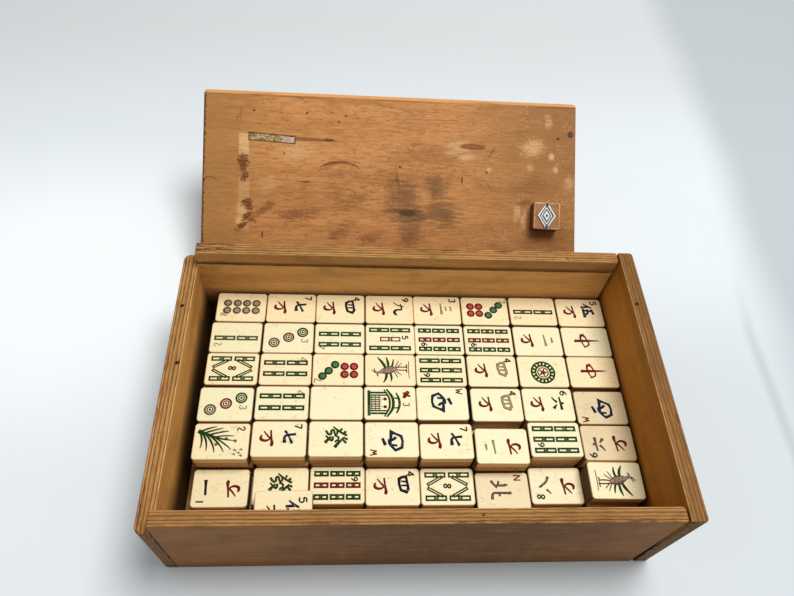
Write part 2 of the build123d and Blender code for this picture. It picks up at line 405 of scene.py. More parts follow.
def plies(finish, wood, depth, along, age):
    """A plywood edge along one axis: plies across depth, 0 inside to 1 outside, with glue between them."""
    coords = finish.place()
    long = [0.35, 0.35, 0.35]
    long[along] = 0.02
    wander = finish.noise(coords, long, 3) - 0.5
    ragged = finish.noise(coords, [value * 4 for value in long], 4, 0.7) - 0.5
    light, cross, glue, mid = wood.ply_light, wood.ply_end, wood.glue, (178, 128, 70)
    colour = finish.ramp(depth + wander * 0.07 + ragged * 0.05, [
        (0.00, cross), (0.07, light), (0.10, glue), (0.14, mid), (0.22, light), (0.30, mid), (0.335, glue),
        (0.37, cross), (0.44, mid), (0.50, light), (0.57, cross), (0.60, glue), (0.635, mid), (0.72, light),
        (0.79, cross), (0.825, glue), (0.86, light), (0.93, light), (0.97, cross),
    ])
    dashes = finish.noise(coords, [value * 7 for value in long], 4, 0.75)
    outer = depth.ease(0.62, 0.80) * finish.noise(coords, 0.05, 3).ease(0.46, 0.58)
    grime = finish.noise(coords, 0.022, 4, 0.65).ease(0.44, 0.66)
    spots = finish.noise(coords, 0.16, 2).ease(0.72, 0.76)
    colour = finish.over(
        colour,
        (dashes.ease(0.52, 0.62) * 0.5, glue),
        (dashes.ease(0.45, 0.33) * 0.35, (222, 172, 112)),
        (depth.ease(0.09, 0.04) * dashes.ease(0.62, 0.40) * 0.8, (236, 188, 132)),
        (outer * dashes.ease(0.42, 0.54) * 0.75, (88, 38, 20)),
        (min(age * 1.4, 0.6) * depth.ease(0.06, 0.16), (108, 72, 36)),
        (grime * 0.35 + age * 0.4, (96, 62, 30)),
        (spots * 0.8, (62, 34, 16)),
    )
    return colour, dashes, wander


def plywood(node, wood, thickness_axis, hue, age, torn=None, dents=()):
    """A plywood wall: veneer on both faces, plies on its edges.

    hue is the inner face's colour, age dulls the edges, torn is where along the wall they are broken,
    and dents are the middles of small holes in its top.
    """
    finish = Finish(f"{node}_plywood")
    coords = finish.place()
    length_axis = 1 - thickness_axis
    axes = finish.split(coords)
    along = axes[length_axis]
    inner, outer = sorted(abs(corner[thickness_axis]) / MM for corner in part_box(node))
    depth = (abs(axes[thickness_axis]) - inner) / (outer - inner)
    edge, dashes, wander = plies(finish, wood, depth, length_axis, age)
    broad = [0.11, 0.11, 0.11]
    broad[length_axis] = 0.012
    fine = [1.4, 1.4, 1.4]
    fine[length_axis] = 0.06
    tone = finish.noise(coords, broad, 4, 0.6, 0.4)
    fibre = finish.noise(coords, fine, 5, 0.75)
    pores = finish.noise(coords, [value * 2.2 for value in fine], 3, 0.6)
    clouds = finish.noise(coords, 0.03, 4, 0.65)
    ripple = finish.noise(coords, [value * 0.8 for value in broad[::-1]], 3, 0.6)
    scratch = finish.noise(coords, [value * 4 for value in broad], 4, 0.75)
    rough_end = finish.noise(coords, (0.9, 0.9, 0.3), 4, 0.75)
    inside = finish.over(
        hue,
        (tone.ease(0.38, 0.66) * 0.32, wood.veneer_dark),
        # painted shade: the inner faces turn almost black low down, deep in the gaps beside the tiles
        (axes[2].ease(45.5, 24.0) * 0.9, (30, 13, 5)),
        (axes[2].ease(67.0, 70.0) * 0.4, (136, 86, 36)),
    )
    outside = finish.over(
        wood.outside,
        (tone.ease(0.38, 0.66) * 0.4, (116, 78, 42)),
        (abs(along - 20).ease(110, 20) * 0.6, (82, 50, 24)),
        (ripple.ease(0.5, 0.66) * 0.25, (158, 104, 54)),
        (scratch.ease(0.54, 0.62) * 0.3, (176, 130, 82)),
        (scratch.ease(0.43, 0.35) * 0.32, (76, 46, 22)),
        (axes[2].ease(24.0, 2.0) * 0.2, (96, 58, 28)),
    )
    veneer = finish.over(
        inside,
        (depth.ease(0.4, 0.6), outside),
        (fibre.ease(0.47, 0.66) * 0.25, wood.glue),
        (pores.ease(0.60, 0.72) * 0.25, (66, 38, 16)),
        (clouds.ease(0.50, 0.66) * 0.25, (100, 66, 34)),
        (clouds.ease(0.45, 0.30) * 0.12, (200, 146, 88)),
    )
    end = finish.facing(length_axis).ease(0.62, 0.86)
    end_grain = finish.mix(rough_end.ease(0.42, 0.58), (128, 92, 52), (48, 30, 14))
    edge = finish.over(
        edge,
        (end * 0.72, end_grain),
        (end * (depth + wander).ease(0.15, 0.08) * 0.95, (64, 26, 8)),
        *((blot(axes[0], axes[1], place, (1.3, 1.0), 20, 0.4), (40, 20, 10)) for place in dents),
    )
    if torn:
        splinters = finish.noise(coords, [value * 5 for value in broad], 4, 0.8)
        broken = along.ease(*torn) * splinters.ease(0.45, 0.51)
        edge = finish.over(edge, (broken * depth.ease(0.12, 0.25) * 0.85, (74, 38, 20)))
    face = finish.facing(thickness_axis).ease(0.62, 0.86)
    height = finish.mix(face, dashes, fibre)
    colour = finish.mix(face, edge, veneer)
    return finish.surface(colour, 0.55 + fibre * 0.18, normal=finish.bump(height, 0.12), specular=0.1)


def bottom_board(wood):
    finish = Finish("bottom_panel_veneer")
    coords = finish.place()
    tone = finish.noise(coords, (0.01, 0.08, 0.08), 4, 0.6, 0.3)
    fibre = finish.noise(coords, (0.04, 1.4, 1.4), 5, 0.7)
    stains = finish.noise(coords, 0.02, 4, 0.6).ease(0.55, 0.72)
    colour = finish.over(
        wood.veneer,
        (tone.ease(0.35, 0.7) * 0.7, wood.veneer_dark),
        (fibre.ease(0.5, 0.8) * 0.45, wood.glue),
        (stains * 0.4, (90, 62, 38)),
    )
    return finish.surface(colour, 0.55 + fibre * 0.15, normal=finish.bump(fibre, 0.12))


def lid_scrapes(u, v, ragged, hairy, upright, shape):
    """Pale places on the lid, where the varnish is worn or scraped away."""
    return gather([
        patch(u, v, (23.4, 104.8), (30.0, 119.6), 0.5, ragged * 0.25, 0.85),
        patch(u, v, (23.8, 55.0), (31.0, 90.0), 1.5, ragged * 0.8, 0.35),
        *blots(
            u, v,
            ((28.5, 102.0), (2.0, 3.2), -20, 0.5, ragged, 0.5),
            ((26.2, 68.0), (3.2, 5.5), 0, 0.4, ragged, 0.7),
            ((25.4, 61.0), (3.0, 3.6), 0, 0.4, ragged, 0.75),
            ((172.0, 114.6), (7.5, 4.4), 0, 0.5, ragged, 0.75),
            ((177.5, 108.6), (5.0, 3.2), 10, 0.5, ragged, 0.75),
            ((166.0, 112.0), (4.0, 2.6), 30, 0.5, ragged, 0.55),
            ((223.6, 117.0), (7.2, 5.2), 12, 0.6, ragged + hairy * 0.3, 0.75),
            ((235.0, 134.0), (2.7, 3.4), 0, 0.4, ragged * 0.5, 0.55),
            ((234.0, 139.0), (2.4, 1.6), 0, 0.5, ragged, 0.4),
            ((237.1, 111.0), (1.9, 2.2), 0, 0.4, ragged * 0.4, 0.8),
            ((240.1, 102.0), (1.8, 2.2), 0, 0.4, ragged * 0.4, 0.7),
            ((222.0, 102.8), (2.3, 2.2), 0, 0.5, ragged * 0.6, 0.45),
            ((193.2, 100.2), (1.8, 1.4), 35, 0.4, ragged, 0.7),
            ((62.0, 108.0), (10.0, 5.0), 0, 0.7, ragged + shape, 0.5),
            ((249.5, 93.0), (3.0, 4.0), 0, 0.6, ragged, 0.5),
            ((214.0, 74.0), (2.0, 8.0), -14, 0.6, upright, 0.6),
            ((218.0, 66.0), (2.2, 6.5), -12, 0.6, upright, 0.55),
            ((43.0, 86.0), (6.0, 5.0), 0, 0.7, shape, 0.25),
        ),
    ])


def lid_stains(u, v, ragged, hairy):
    """Brown stains on the lid, and thin scratches with dirt in them."""
    return gather([
        bow(u, v, (91.2, 76.6), 25.6, 15.6, 0.75, ragged * 0.25, 0.8),
        bow(u, v, (5.0, 83.6), 6.0, 5.4, 0.3, None, 0.6),
        patch(u, v, (62.0, 88.1), (86.0, 88.4), 0.5, hairy * 0.14, 0.7),
        patch(u, v, (13.0, 136.8), (34.0, 137.2), 0.5, hairy * 0.12, 0.6),
        patch(u, v, (140.0, 133.3), (172.0, 133.7), 0.5, hairy * 0.2, 0.5),
        *blots(
            u, v,
            ((26.4, 101.2), (3.4, 4.6), 0, 0.25, ragged, 0.9),
            ((26.6, 96.6), (2.2, 3.4), 12, 0.3, ragged, 0.8),
            ((27.6, 90.6), (1.9, 3.2), -18, 0.3, ragged * 1.3, 0.8),
            ((29.6, 73.2), (3.4, 3.0), 10, 0.25, ragged, 0.85),
            ((31.2, 69.8), (2.6, 1.8), 0, 0.3, ragged, 0.75),
            ((29.8, 64.2), (4.2, 1.7), 48, 0.25, ragged, 0.85),
            ((31.8, 61.8), (3.4, 1.5), -10, 0.3, ragged, 0.7),
            ((26.0, 57.2), (4.6, 1.9), 42, 0.25, ragged, 0.9),
            ((39.5, 68.0), (8.0, 2.2), 32, 0.5, ragged + hairy * 0.3, 0.55),
            ((45.0, 72.6), (3.0, 2.0), 0, 0.5, ragged, 0.45),
            ((63.0, 66.0), (12.0, 3.4), 6, 0.7, hairy + ragged, 0.5),
            ((100.0, 76.0), (10.0, 6.0), 20, 0.7, hairy + ragged, 0.4),
            ((92.0, 55.0), (8.0, 4.0), 35, 0.7, hairy + ragged, 0.45),
            ((112.0, 51.0), (7.0, 3.0), 20, 0.6, hairy + ragged, 0.5),
            ((84.0, 99.5), (5.5, 1.5), 24, 0.5, ragged, 0.5),
            ((68.5, 88.2), (3.2, 0.55), 0, 0.4, None, 0.9),
            ((193.6, 88.6), (4.6, 0.35), -54, 0.4, None, 0.5),
            ((194.8, 112.2), (3.6, 0.42), 58, 0.4, None, 0.75),
            ((24.4, 133.4), (0.35, 5.2), 0, 0.4, None, 0.65),
            ((22.4, 130.6), (0.5, 3.2), -22, 0.4, None, 0.5),
            ((234.0, 55.0), (16.0, 9.0), 0, 0.7, hairy, 0.4),
            ((218.0, 78.5), (5.5, 2.0), 0, 0.6, hairy, 0.55),
            ((222.0, 90.0), (9.0, 5.0), 20, 0.8, hairy + ragged, 0.3),
            ((120.0, 92.0), (26.0, 7.0), 6, 0.8, hairy + ragged, 0.3),
            ((150.0, 108.0), (24.0, 8.0), 0, 0.8, hairy + ragged, 0.3),
        ),
    ])


def lid_smudge(u, v, hairy, upright):
    """The grey smudge near the middle of the lid's lower half."""
    return gather(blots(
        u, v,
        ((137.5, 69.0), (8.5, 3.0), -2, 0.5, hairy * 0.35, 0.95),
        ((138.5, 68.5), (14.5, 6.0), -4, 0.7, hairy * 0.7, 0.8),
        ((160.0, 69.5), (13.0, 9.5), 0, 0.5, hairy * 0.7, 0.6),
        ((134.0, 80.0), (11.0, 11.0), 0, 0.7, upright * 0.3 + hairy * 0.5, 0.6),
        ((157.0, 86.0), (7.0, 9.0), 20, 0.7, upright * 0.4 + hairy * 0.4, 0.55),
        ((140.0, 58.0), (8.0, 9.0), 0, 0.6, upright * 0.5 + hairy * 0.3, 0.5),
        ((131.0, 88.0), (1.5, 8.0), 14, 0.5, upright * 0.3, 0.6),
    ))


def lid_ink(u, v, fine):
    """Small dark marks on the lid, and the dirt where the rest of the label was."""
    along_label = v + (u - LABEL_MIDDLE[0]) * LABEL_SLOPE
    return gather([
        patch(u, along_label, (29.5, 114.2), (61.0, 120.0), 0.5, fine * 0.8, 0.85),
        *blots(
            u, v,
            ((40.0, 52.0), (0.5, 2.6), 0, 0.4, None, 0.95),
            ((174.5, 92.6), (0.5, 2.6), 0, 0.4, None, 0.95),
            ((32.9, 135.4), (1.0, 0.7), 0, 0.5, None, 0.9),
            ((68.2, 134.8), (0.8, 0.8), 0, 0.5, None, 0.9),
            ((94.5, 133.9), (1.0, 0.6), 20, 0.5, None, 0.9),
            ((89.8, 129.6), (0.8, 0.8), 0, 0.5, None, 0.8),
            ((131.7, 100.4), (0.8, 0.8), 0, 0.5, None, 0.95),
            ((241.6, 123.7), (1.2, 1.0), 0, 0.5, None, 0.9),
            ((191.6, 98.6), (0.8, 0.9), 0, 0.5, None, 0.9),
            ((53.5, 106.8), (0.7, 0.7), 0, 0.5, None, 0.8),
        ),
    ])


def lid_varnish(wood):
    """The lid's varnish, in its own plane: u runs along it from its left end, v up from its lower edge."""
    finish = Finish("lid_varnish")
    flat = finish.place(turn=(-LID_LEAN, 0, 0), origin=(LID_LEFT, LID_FOOT, 0))
    u, v, w = finish.split(flat)
    tone = finish.noise(flat, (0.009, 0.06, 0.05), 5, 0.6, 0.6)
    fibre = finish.noise(flat, (0.09, 0.62, 0.6), 5, 0.75)
    dashes = finish.noise(flat, (0.10, 0.55, 0.5), 5, 0.75)
    pores = finish.noise(flat, (0.22, 0.95, 0.9), 3, 0.6)
    cloud = finish.noise(flat, (0.035, 0.05, 0.05), 5, 0.7)
    fleck = finish.noise(flat, (0.5, 0.8, 0.8), 4, 0.75)
    ragged = (fleck - 0.5) * 4.5
    shape = (finish.noise(flat, 0.16, 3, 0.6) - 0.5) * 1.8
    hairy = (finish.noise(flat, (0.09, 0.6, 0.5), 5, 0.75) - 0.5) * 5.0
    upright = (finish.noise(flat, (0.6, 0.07, 0.5), 5, 0.75) - 0.5) * 5.0
    fine = (fleck - 0.5) * 1.2
    scuffed = finish.noise(flat, (0.06, 0.12, 0.1), 3).ease(0.50, 0.62) * u.ease(150, 200)
    pale = lid_scrapes(u, v, ragged, hairy, upright, shape)
    brown = lid_stains(u, v, ragged, hairy)
    brown = (brown * (0.8 + cloud.ease(0.40, 0.58) * 0.2 + dashes.ease(0.44, 0.54) * 0.3)).clamped()
    smudge = lid_smudge(u, v, hairy, upright)
    ink = lid_ink(u, v, fine)

    specks = finish.noise(flat, (0.42, 0.55, 0.4), 2, 0.5).ease(0.70, 0.75)
    notch = finish.noise(flat, (0.1, 0.6, 0.6), 4, 0.85)
    burr = (u - (notch - 0.32) * 6.5).ease(0.4, -0.6)
    worn = finish.noise(flat, (0.03, 0.2, 0.2), 4, 0.7)
    right = u.ease(150, 250)
    # pale bevels, partly worn varnish and partly painted highlight, and a line of painted shade under the
    # upper bevel
    worn_and_lit_bevels = v.ease(145.8, 146.8).most(v.ease(3.2, 2.2))
    bevel_shade_line = v.ease(144.6, 145.2) * v.ease(146.4, 145.8)
    lines = finish.ramp(w / LID_THICKNESS + (tone - 0.5) * 0.2, [
        (0.0, (196, 140, 84)), (0.28, (196, 140, 84)), (0.33, (98, 58, 26)), (0.38, (166, 110, 60)),
        (0.62, (166, 110, 60)), (0.67, (98, 58, 26)), (0.72, (196, 140, 84)),
    ])

    colour = finish.over(
        wood.lid,
        (tone.ease(0.38, 0.66) * 0.45, wood.lid_dark),
        (cloud.ease(0.48, 0.68) * 0.5, (208, 146, 84)),
        (cloud.ease(0.46, 0.30) * 0.45, (150, 94, 46)),
        (fibre.ease(0.48, 0.60) * 0.38, (146, 88, 40)),
        (fibre.ease(0.46, 0.36) * 0.4, (220, 160, 98)),
        (dashes.ease(0.58, 0.63) * 0.32, (122, 70, 32)),
        (pores.ease(0.60, 0.68) * 0.55, (100, 56, 24)),
        # darker towards both ends, the lower edge and the upper right
        ((right * 0.55).most(u.ease(52, 4) * 0.65), (160, 114, 60)),
        (u.ease(120, 254) * 0.24 + v.ease(70, 44) * 0.25 + right * v.ease(80, 125) * 0.22, (132, 82, 38)),
        (scuffed * fleck.ease(0.52, 0.60) * 0.5, (208, 168, 122)),
        # stains and scrapes
        (pale * (1.1 - dashes.ease(0.46, 0.60) * 0.55), (220, 176, 122)),
        (brown, (112, 62, 24)),
        (blot(u, v, (181.5, 116.0), (8.6, 2.0), -1, 0.2, ragged * 0.4, 0.9), (112, 62, 26)),
        (blot(u, v, (181.2, 116.0), (6.4, 1.1), -1, 0.4, ragged * 0.6, 0.75), (164, 96, 46)),
        (smudge, (78, 58, 34)),
        (ink, (70, 44, 22)),
        (blot(u, v, (66.0, 117.1), (20.5, 1.25), -1.5, 0.25, fine * 0.8, 0.75), (116, 72, 30)),
        (blot(u, v, (83.5, 116.9), (3.6, 1.1), -4, 0.3, fine, 0.8), (84, 48, 22)),
        (specks * 0.55, (92, 54, 28)),
        # the rim: chipped left end, pale bevels of worn varnish and painted highlight, a line of painted
        # shade under the upper bevel, the hole round the nail and the plies
        (burr * 0.85, (74, 44, 24)),
        (worn_and_lit_bevels * worn.ease(0.25, 0.5) * 0.85, (222, 160, 98)),
        (bevel_shade_line * worn.ease(0.45, 0.6) * 0.6, (122, 74, 38)),
        (blot(u, v, (250.3, 126.8), (1.9, 2.1), 0, 0.3) * 0.9, (44, 36, 26)),
        (finish.facing(0).ease(0.5, 0.8), lines),
    )
    rough = 0.46 + fibre * 0.2 + smudge * 0.15
    normal = finish.bump(fibre - burr * 1.5 - brown * 0.6, 0.12)
    return finish.surface(colour, rough, normal=normal, coat=0.02, coat_rough=0.4, specular=0.15)


def on_knob(finish):
    """Lengths from the middle of the knob, turned to lie along the lid, up it and out of it."""
    low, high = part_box("knob_block")
    middle = [(low[axis] + high[axis]) / 2 / MM for axis in range(3)]
    flat = finish.place(turn=(-LID_LEAN, 0, 0), origin=middle)
    return flat, *finish.split(flat)


def knob_varnish(wood):
    """The knob: varnished top, edges worn pale, and sides darkened with painted shade."""
    finish = Finish("knob_varnish")
    flat, u, v, w = on_knob(finish)
    fibre = finish.noise(flat, (0.12, 1.6, 1.2), 5, 0.7)
    tone = finish.noise(flat, (0.05, 0.16, 0.1), 3)
    ragged = (finish.noise(flat, 0.4, 3) - 0.5) * 1.6
    worn = (abs(u).most(abs(v)) + ragged).ease(8.1, 8.9) * w.ease(3.0, 4.0)
    colour = finish.over(
        wood.knob,
        (tone.ease(0.35, 0.7) * 0.6, (142, 96, 54)),
        (fibre.ease(0.5, 0.8) * 0.5, (92, 52, 28)),
        (worn * 0.9, (232, 184, 140)),
        # painted shade on the knob's sides
        (w.ease(4.3, 3.6) * 0.85, (112, 40, 16)),
    )
    normal = finish.bump(fibre, 0.1)
    return finish.surface(colour, 0.38 + fibre * 0.2, normal=normal, coat=0.05, coat_rough=0.3, specular=0.25)


def badge_metal():
    """Stamped metal: bright where it is raised, dull and darkened in the sunk field."""
    finish = Finish("badge_metal")
    flat, u, v, w = on_knob(finish)
    scuffs = finish.noise(flat, (1.2, 3.0, 1.2), 4, 0.7)
    nest = abs(u - BADGE_OFFSET) / (BADGE_SIZE[0] / 2) + abs(v) / (BADGE_SIZE[1] / 2)
    line = abs(nest - 0.60).ease(0.085, 0.045)
    heart = nest.ease(0.40, 0.36) * nest.ease(0.13, 0.18)
    bright = gather([nest.ease(0.80, 0.86), line, heart])
    dull = finish.mix(scuffs.ease(0.3, 0.7), (18, 18, 20), (58, 58, 58))
    shine = finish.mix(scuffs.ease(0.45, 0.85) * 0.5, (238, 238, 234), (150, 150, 148))
    side = w.ease(KNOB_TOP + 0.4, KNOB_TOP + 0.2)
    colour = finish.over(dull, (bright, shine), (side * 0.7, (60, 58, 54)))
    return finish.surface(colour, 0.5 - bright * 0.18, 0.35, finish.bump(scuffs, 0.03))


def floor_paper(stage):
    """Pale paper with painted light and shade: darker far off and to the right, brighter to the left of the
    case, and one soft fold to the right of the case drawn in painted shade.
    """
    finish = Finish("floor_paper")
    coords = finish.place()
    x, y, _ = finish.split(coords)
    cloud = finish.noise(coords, 0.004, 3)
    far = (y + (cloud - 0.5) * 120).ease(190, 420)
    lamp_side_shade = (x + (cloud - 0.5) * 80).ease(-60, 240) * y.ease(150, 20)
    fold_shade = (x + (cloud - 0.5) * 40 - y.ease(110, 260) * 12).ease(244, 292)
    crease_shadow = (abs(x - 247 - y.ease(60, 150) * 8)).ease(7, 0) * y.ease(140, 40)
    colour = finish.over(
        stage.floor,
        (cloud.ease(0.35, 0.65) * 0.5, (236, 241, 243)),
        # painted shade far off, and to the right where it evens out the lamp
        (far * 0.85, (208, 212, 212)),
        (lamp_side_shade * 0.6, (204, 210, 212)),
        # a painted pool of light to the left of the case
        (blot(x, y, (-235, 105), (130, 100), 0, 0.6, None, 0.85), (250, 254, 255)),
        # painted shade beyond the fold and a thin painted shadow along it
        (fold_shade * 0.85, (186, 192, 195)),
        (crease_shadow * 0.35, (160, 168, 172)),
    )
    return finish.surface(colour, 0.9, specular=0.1)


def label_paper():
    """What is left of a paper label, dirty and worn through."""
    finish = Finish("label_paper")
    flat = finish.place(turn=(-LID_LEAN, 0, 0), origin=(LID_LEFT, LID_FOOT, 0))
    u, v, _ = finish.split(flat)
    cloud = finish.noise(flat, (0.35, 0.5, 0.5), 4, 0.7)
    scuff = finish.noise(flat, (0.5, 1.2, 1.0), 4, 0.75)
    off = abs(v + (u - LABEL_MIDDLE[0]) * LABEL_SLOPE - LABEL_MIDDLE[1])
    colour = finish.over(
        (192, 158, 108),
        (cloud.ease(0.42, 0.58), (136, 112, 72)),
        (u.ease(51.0, 53.0) * 0.8, (206, 176, 166)),
        (scuff.ease(0.53, 0.60) * 0.8, (92, 68, 40)),
        (scuff.ease(0.45, 0.38) * 0.6, (230, 212, 180)),
        (off.ease(1.5, 2.2) * cloud.ease(0.35, 0.5) * 0.7, (92, 66, 36)),
    )
    return finish.surface(colour, 0.8, normal=finish.bump(scuff, 0.05), specular=0.2)


def dark_steel():
    finish = Finish("dark_steel")
    rust = finish.noise(finish.place(), 0.9, 4, 0.7)
    colour = finish.mix(rust.ease(0.45, 0.7), (84, 78, 70), (74, 44, 26))
    return finish.surface(colour, 0.45 + rust * 0.3, 0.7, finish.bump(rust, 0.05))


def tile_tints(frames, draw, warmth, tan_and_shade):
    """Stops across the case: how warm each column of tiles is, and how much darker than its neighbours."""
    centres = sorted(matrix.translation.x / MM for matrix in frames)
    columns = [centres[0]]
    for centre in centres:
        if centre - columns[-1] > COLUMN_GAP:
            columns.append(centre)
    stops = []
    for index, centre in enumerate(columns):
        edge = 0.0 if index == 0 else (centre + columns[index - 1]) / 2 / TINT_SPAN + 0.5
        shade = warmth + draw.uniform(-0.14, 0.14)
        stops.append((edge, (shade, tan_and_shade.get(index, 0.0), 0, 1)))
    return stops


def bone_finish(name, tiles, stops, front_in_shade):
    """Polished bone with a tint of its own for each column of tiles; painted shade in the narrow gaps and
    painted light on the open front sides.
    """
    finish = Finish(name)
    coords = finish.place()
    x = finish.split(coords)[0]
    tint, dull, _ = finish.split(finish.ramp(x / TINT_SPAN + 0.5, stops, "CONSTANT"))
    cloud = finish.noise(coords, (0.07, 0.09, 0.09), 4, 0.6)
    fibre = finish.noise(coords, (0.06, 0.9, 0.9), 4, 0.65)
    pits = finish.noise(coords, (0.45, 1.1, 1.1), 3, 0.6)
    stain = finish.noise(coords, (0.12, 0.16, 0.16), 5, 0.75)
    side = finish.facing(2).ease(0.45, 0.15)
    colour = finish.over(
        tiles.bone,
        (tint, tiles.bone_warm),
        (dull, (214, 186, 140)),
        (cloud.ease(0.5, 0.8) * 0.6, tiles.bone_warm),
        (fibre.ease(0.55, 0.8) * 0.25, (218, 184, 130)),
        (stain.ease(0.56, 0.70) * 0.45, (214, 166, 112)),
        (pits.ease(0.62, 0.69) * stain.ease(0.46, 0.54) * 0.6, (122, 88, 50)),
        (finish.facing(2).ease(0.995, 0.93) * 0.45, (238, 196, 144)),
        # painted shade down the steep rounded edges, into the dark lines between tiles
        (finish.facing(2).ease(0.93, 0.72) * 0.4, (120, 76, 42)),
        # sides facing front and back: painted shade where a row stands close behind the next, painted light
        # on open front sides
        (finish.facing(1).ease(0.5, 0.8) * side * 0.9, (150, 102, 58) if front_in_shade else (255, 222, 162)),
        # painted shade on the sides that face the neighbouring tiles in a row
        (side * finish.facing(0).ease(0.5, 0.8) * 0.92, (74, 46, 24)),
    )
    rough = 0.36 + cloud * 0.14 + side * 0.4
    return finish.surface(colour, rough, normal=finish.bump(fibre, 0.02), specular=0.35)


def bamboo_finish(tiles):
    finish = Finish("bamboo_backs")
    coords = finish.place()
    fibre = finish.noise(coords, (0.05, 1.1, 1.1), 5, 0.7)
    tone = finish.noise(coords, (0.03, 0.05, 0.05), 3)
    cut_ends = finish.noise(coords, 1.8, 3, 0.6)
    end = finish.facing(0).ease(0.6, 0.85)
    colour = finish.over(
        tiles.bamboo,
        (fibre.ease(0.38, 0.72), tiles.bamboo_dark),
        (tone.ease(0.4, 0.7) * 0.6, (182, 130, 74)),
        (end * cut_ends.ease(0.50, 0.62) * 0.7, (86, 54, 26)),
        # painted light on the sides facing front and back
        (finish.facing(1).ease(0.5, 0.8) * 0.4, (228, 178, 118)),
        # darker ends: end grain, and painted shade in the gaps between tiles
        (end * 0.7, (70, 44, 22)),
    )
    rough = 0.42 + fibre * 0.15 + end * 0.4
    return finish.surface(colour, rough, normal=finish.bump(fibre, 0.06), specular=0.3)


PAINTS = {
    "red": (124, 11, 1),
    "green": (20, 66, 12),
    "blue": (14, 32, 64),
    "navy": (22, 24, 42),
    "ink": (28, 24, 26),
    "olive": (34, 44, 14),
    "grey": (108, 90, 64),
    "moss": (84, 92, 62),
    "pale_red": (196, 84, 70),
    "pale_green": (84, 134, 90),
    "pale_grey": (172, 154, 120),
    "pale_blue": (92, 108, 124),
    "rose": (168, 136, 120),
    "faint": (172, 150, 110),
    "spot": (58, 34, 28),
}


def paint_finish(name, rgb):
    """Old paint in engraved strokes, worn through to the bone in flecks."""
    finish = Finish(f"paint_{name}")
    coords = finish.place()
    worn = finish.noise(coords, 0.9, 3, 0.7)
    thin = finish.noise(coords, 0.16, 3, 0.6)
    colour = finish.over(
        rgb,
        (thin.ease(0.35, 0.75) * 0.5, tuple(value * 0.66 for value in rgb)),
        ((worn + thin * 0.4).ease(0.80, 0.92) * 0.5, (226, 202, 158)),
    )
    return finish.surface(colour, 0.6 + worn * 0.1, specular=0.15)


# ---------------------------------------------------------------- tile faces

# Strokes are (across, up, width) points in millimetres, on an upright tile with its middle at 0, 0

MYRIAD = (
    ((-5.0, -4.6, 0.7), (-1.6, -4.3, 0.7), (1.4, -3.8, 0.9), (3.0, -3.5, 1.4), (4.1, -4.2, 1.0)),
    ((-0.4, -4.8, 0.7), (-2.4, -6.9, 0.8), (-4.6, -8.4, 0.35)),
    ((-0.2, -4.6, 0.5), (1.0, -6.0, 0.8), (1.1, -8.4, 1.0), (-0.3, -10.3, 1.3), (-2.2, -9.3, 0.6)),
)

NUMERALS = {
    1: (((-3.8, 7.4, 0.8), (-2.6, 7.5, 0.9), (2.0, 7.8, 0.8), (4.5, 8.0, 1.3)),),
    2: (((-2.6, 8.8, 0.6), (1.0, 9.1, 0.9)), ((-4.6, 4.1, 0.6), (0.0, 4.6, 0.6), (3.5, 4.9, 1.1))),
    3: (
        ((-3.2, 8.3, 0.5), (0.5, 8.9, 0.8)),
        ((-2.9, 5.3, 0.5), (0.2, 5.8, 0.8)),
        ((-5.1, 2.3, 0.7), (-1.0, 2.7, 0.6), (3.0, 2.9, 1.1)),
    ),
    4: (
        ((-3.5, 7.8, 0.9), (-5.7, 7.4, 1.1), (-5.3, 5.0, 1.0), (-4.4, 3.6, 1.2), (-1.6, 3.5, 1.0),
         (1.8, 4.4, 1.0), (2.9, 7.4, 1.2), (1.2, 8.5, 1.1), (-1.4, 8.2, 0.9), (-3.5, 7.8, 0.9)),
        ((-2.7, 7.6, 0.8), (-3.1, 4.6, 0.6)),
        ((-0.7, 7.8, 0.8), (-0.7, 4.6, 0.6)),
    ),
    5: (
        ((-3.5, 8.2, 0.8), (-5.0, 5.2, 0.9), (-7.0, 2.9, 0.5)),
        ((-4.4, 6.0, 1.0), (-4.1, 1.2, 0.9)),
        ((-2.6, 7.9, 0.9), (1.4, 8.7, 1.2)),
        ((-1.0, 8.0, 0.9), (-1.8, 3.0, 0.9)),
        ((-2.6, 5.4, 0.8), (1.4, 5.9, 1.0), (1.2, 3.0, 1.0)),
        ((-3.2, 2.4, 0.9), (3.6, 2.9, 1.4)),
    ),
    6: (
        ((-1.2, 9.2, 0.7), (-0.6, 7.4, 1.1)),
        ((-4.9, 6.9, 0.7), (-1.0, 7.3, 0.7), (3.2, 7.6, 1.2)),
        ((-1.5, 5.3, 1.0), (-2.6, 3.8, 0.8), (-4.7, 2.5, 0.5)),
        ((-0.1, 5.0, 0.5), (1.2, 4.0, 0.9), (2.4, 2.8, 1.3)),
    ),
    7: (
        ((-2.7, 9.0, 1.0), (-2.4, 5.8, 0.9), (-2.0, 3.4, 0.9), (-0.6, 2.6, 1.0), (2.3, 3.1, 1.5)),
        ((-4.7, 3.0, 1.0), (-2.6, 4.6, 0.8), (0.0, 5.9, 0.7), (2.6, 7.1, 1.2)),
    ),
    8: (
        ((-2.1, 5.8, 0.9), (-3.0, 4.4, 0.7), (-4.6, 3.4, 0.4)),
        ((-0.9, 9.5, 0.9), (0.5, 7.6, 0.8), (2.2, 5.0, 0.8), (5.2, 4.0, 1.1)),
    ),
    9: (
        ((-2.4, 9.0, 0.5), (-2.6, 6.9, 0.6), (-3.4, 4.4, 0.5), (-5.4, 2.5, 0.3)),
        ((-4.2, 6.9, 0.5), (-1.8, 7.5, 0.6), (0.3, 7.7, 0.9), (0.0, 5.0, 0.8), (0.9, 3.2, 1.1),
         (3.0, 2.9, 1.3), (4.1, 4.6, 0.6)),
    ),
}

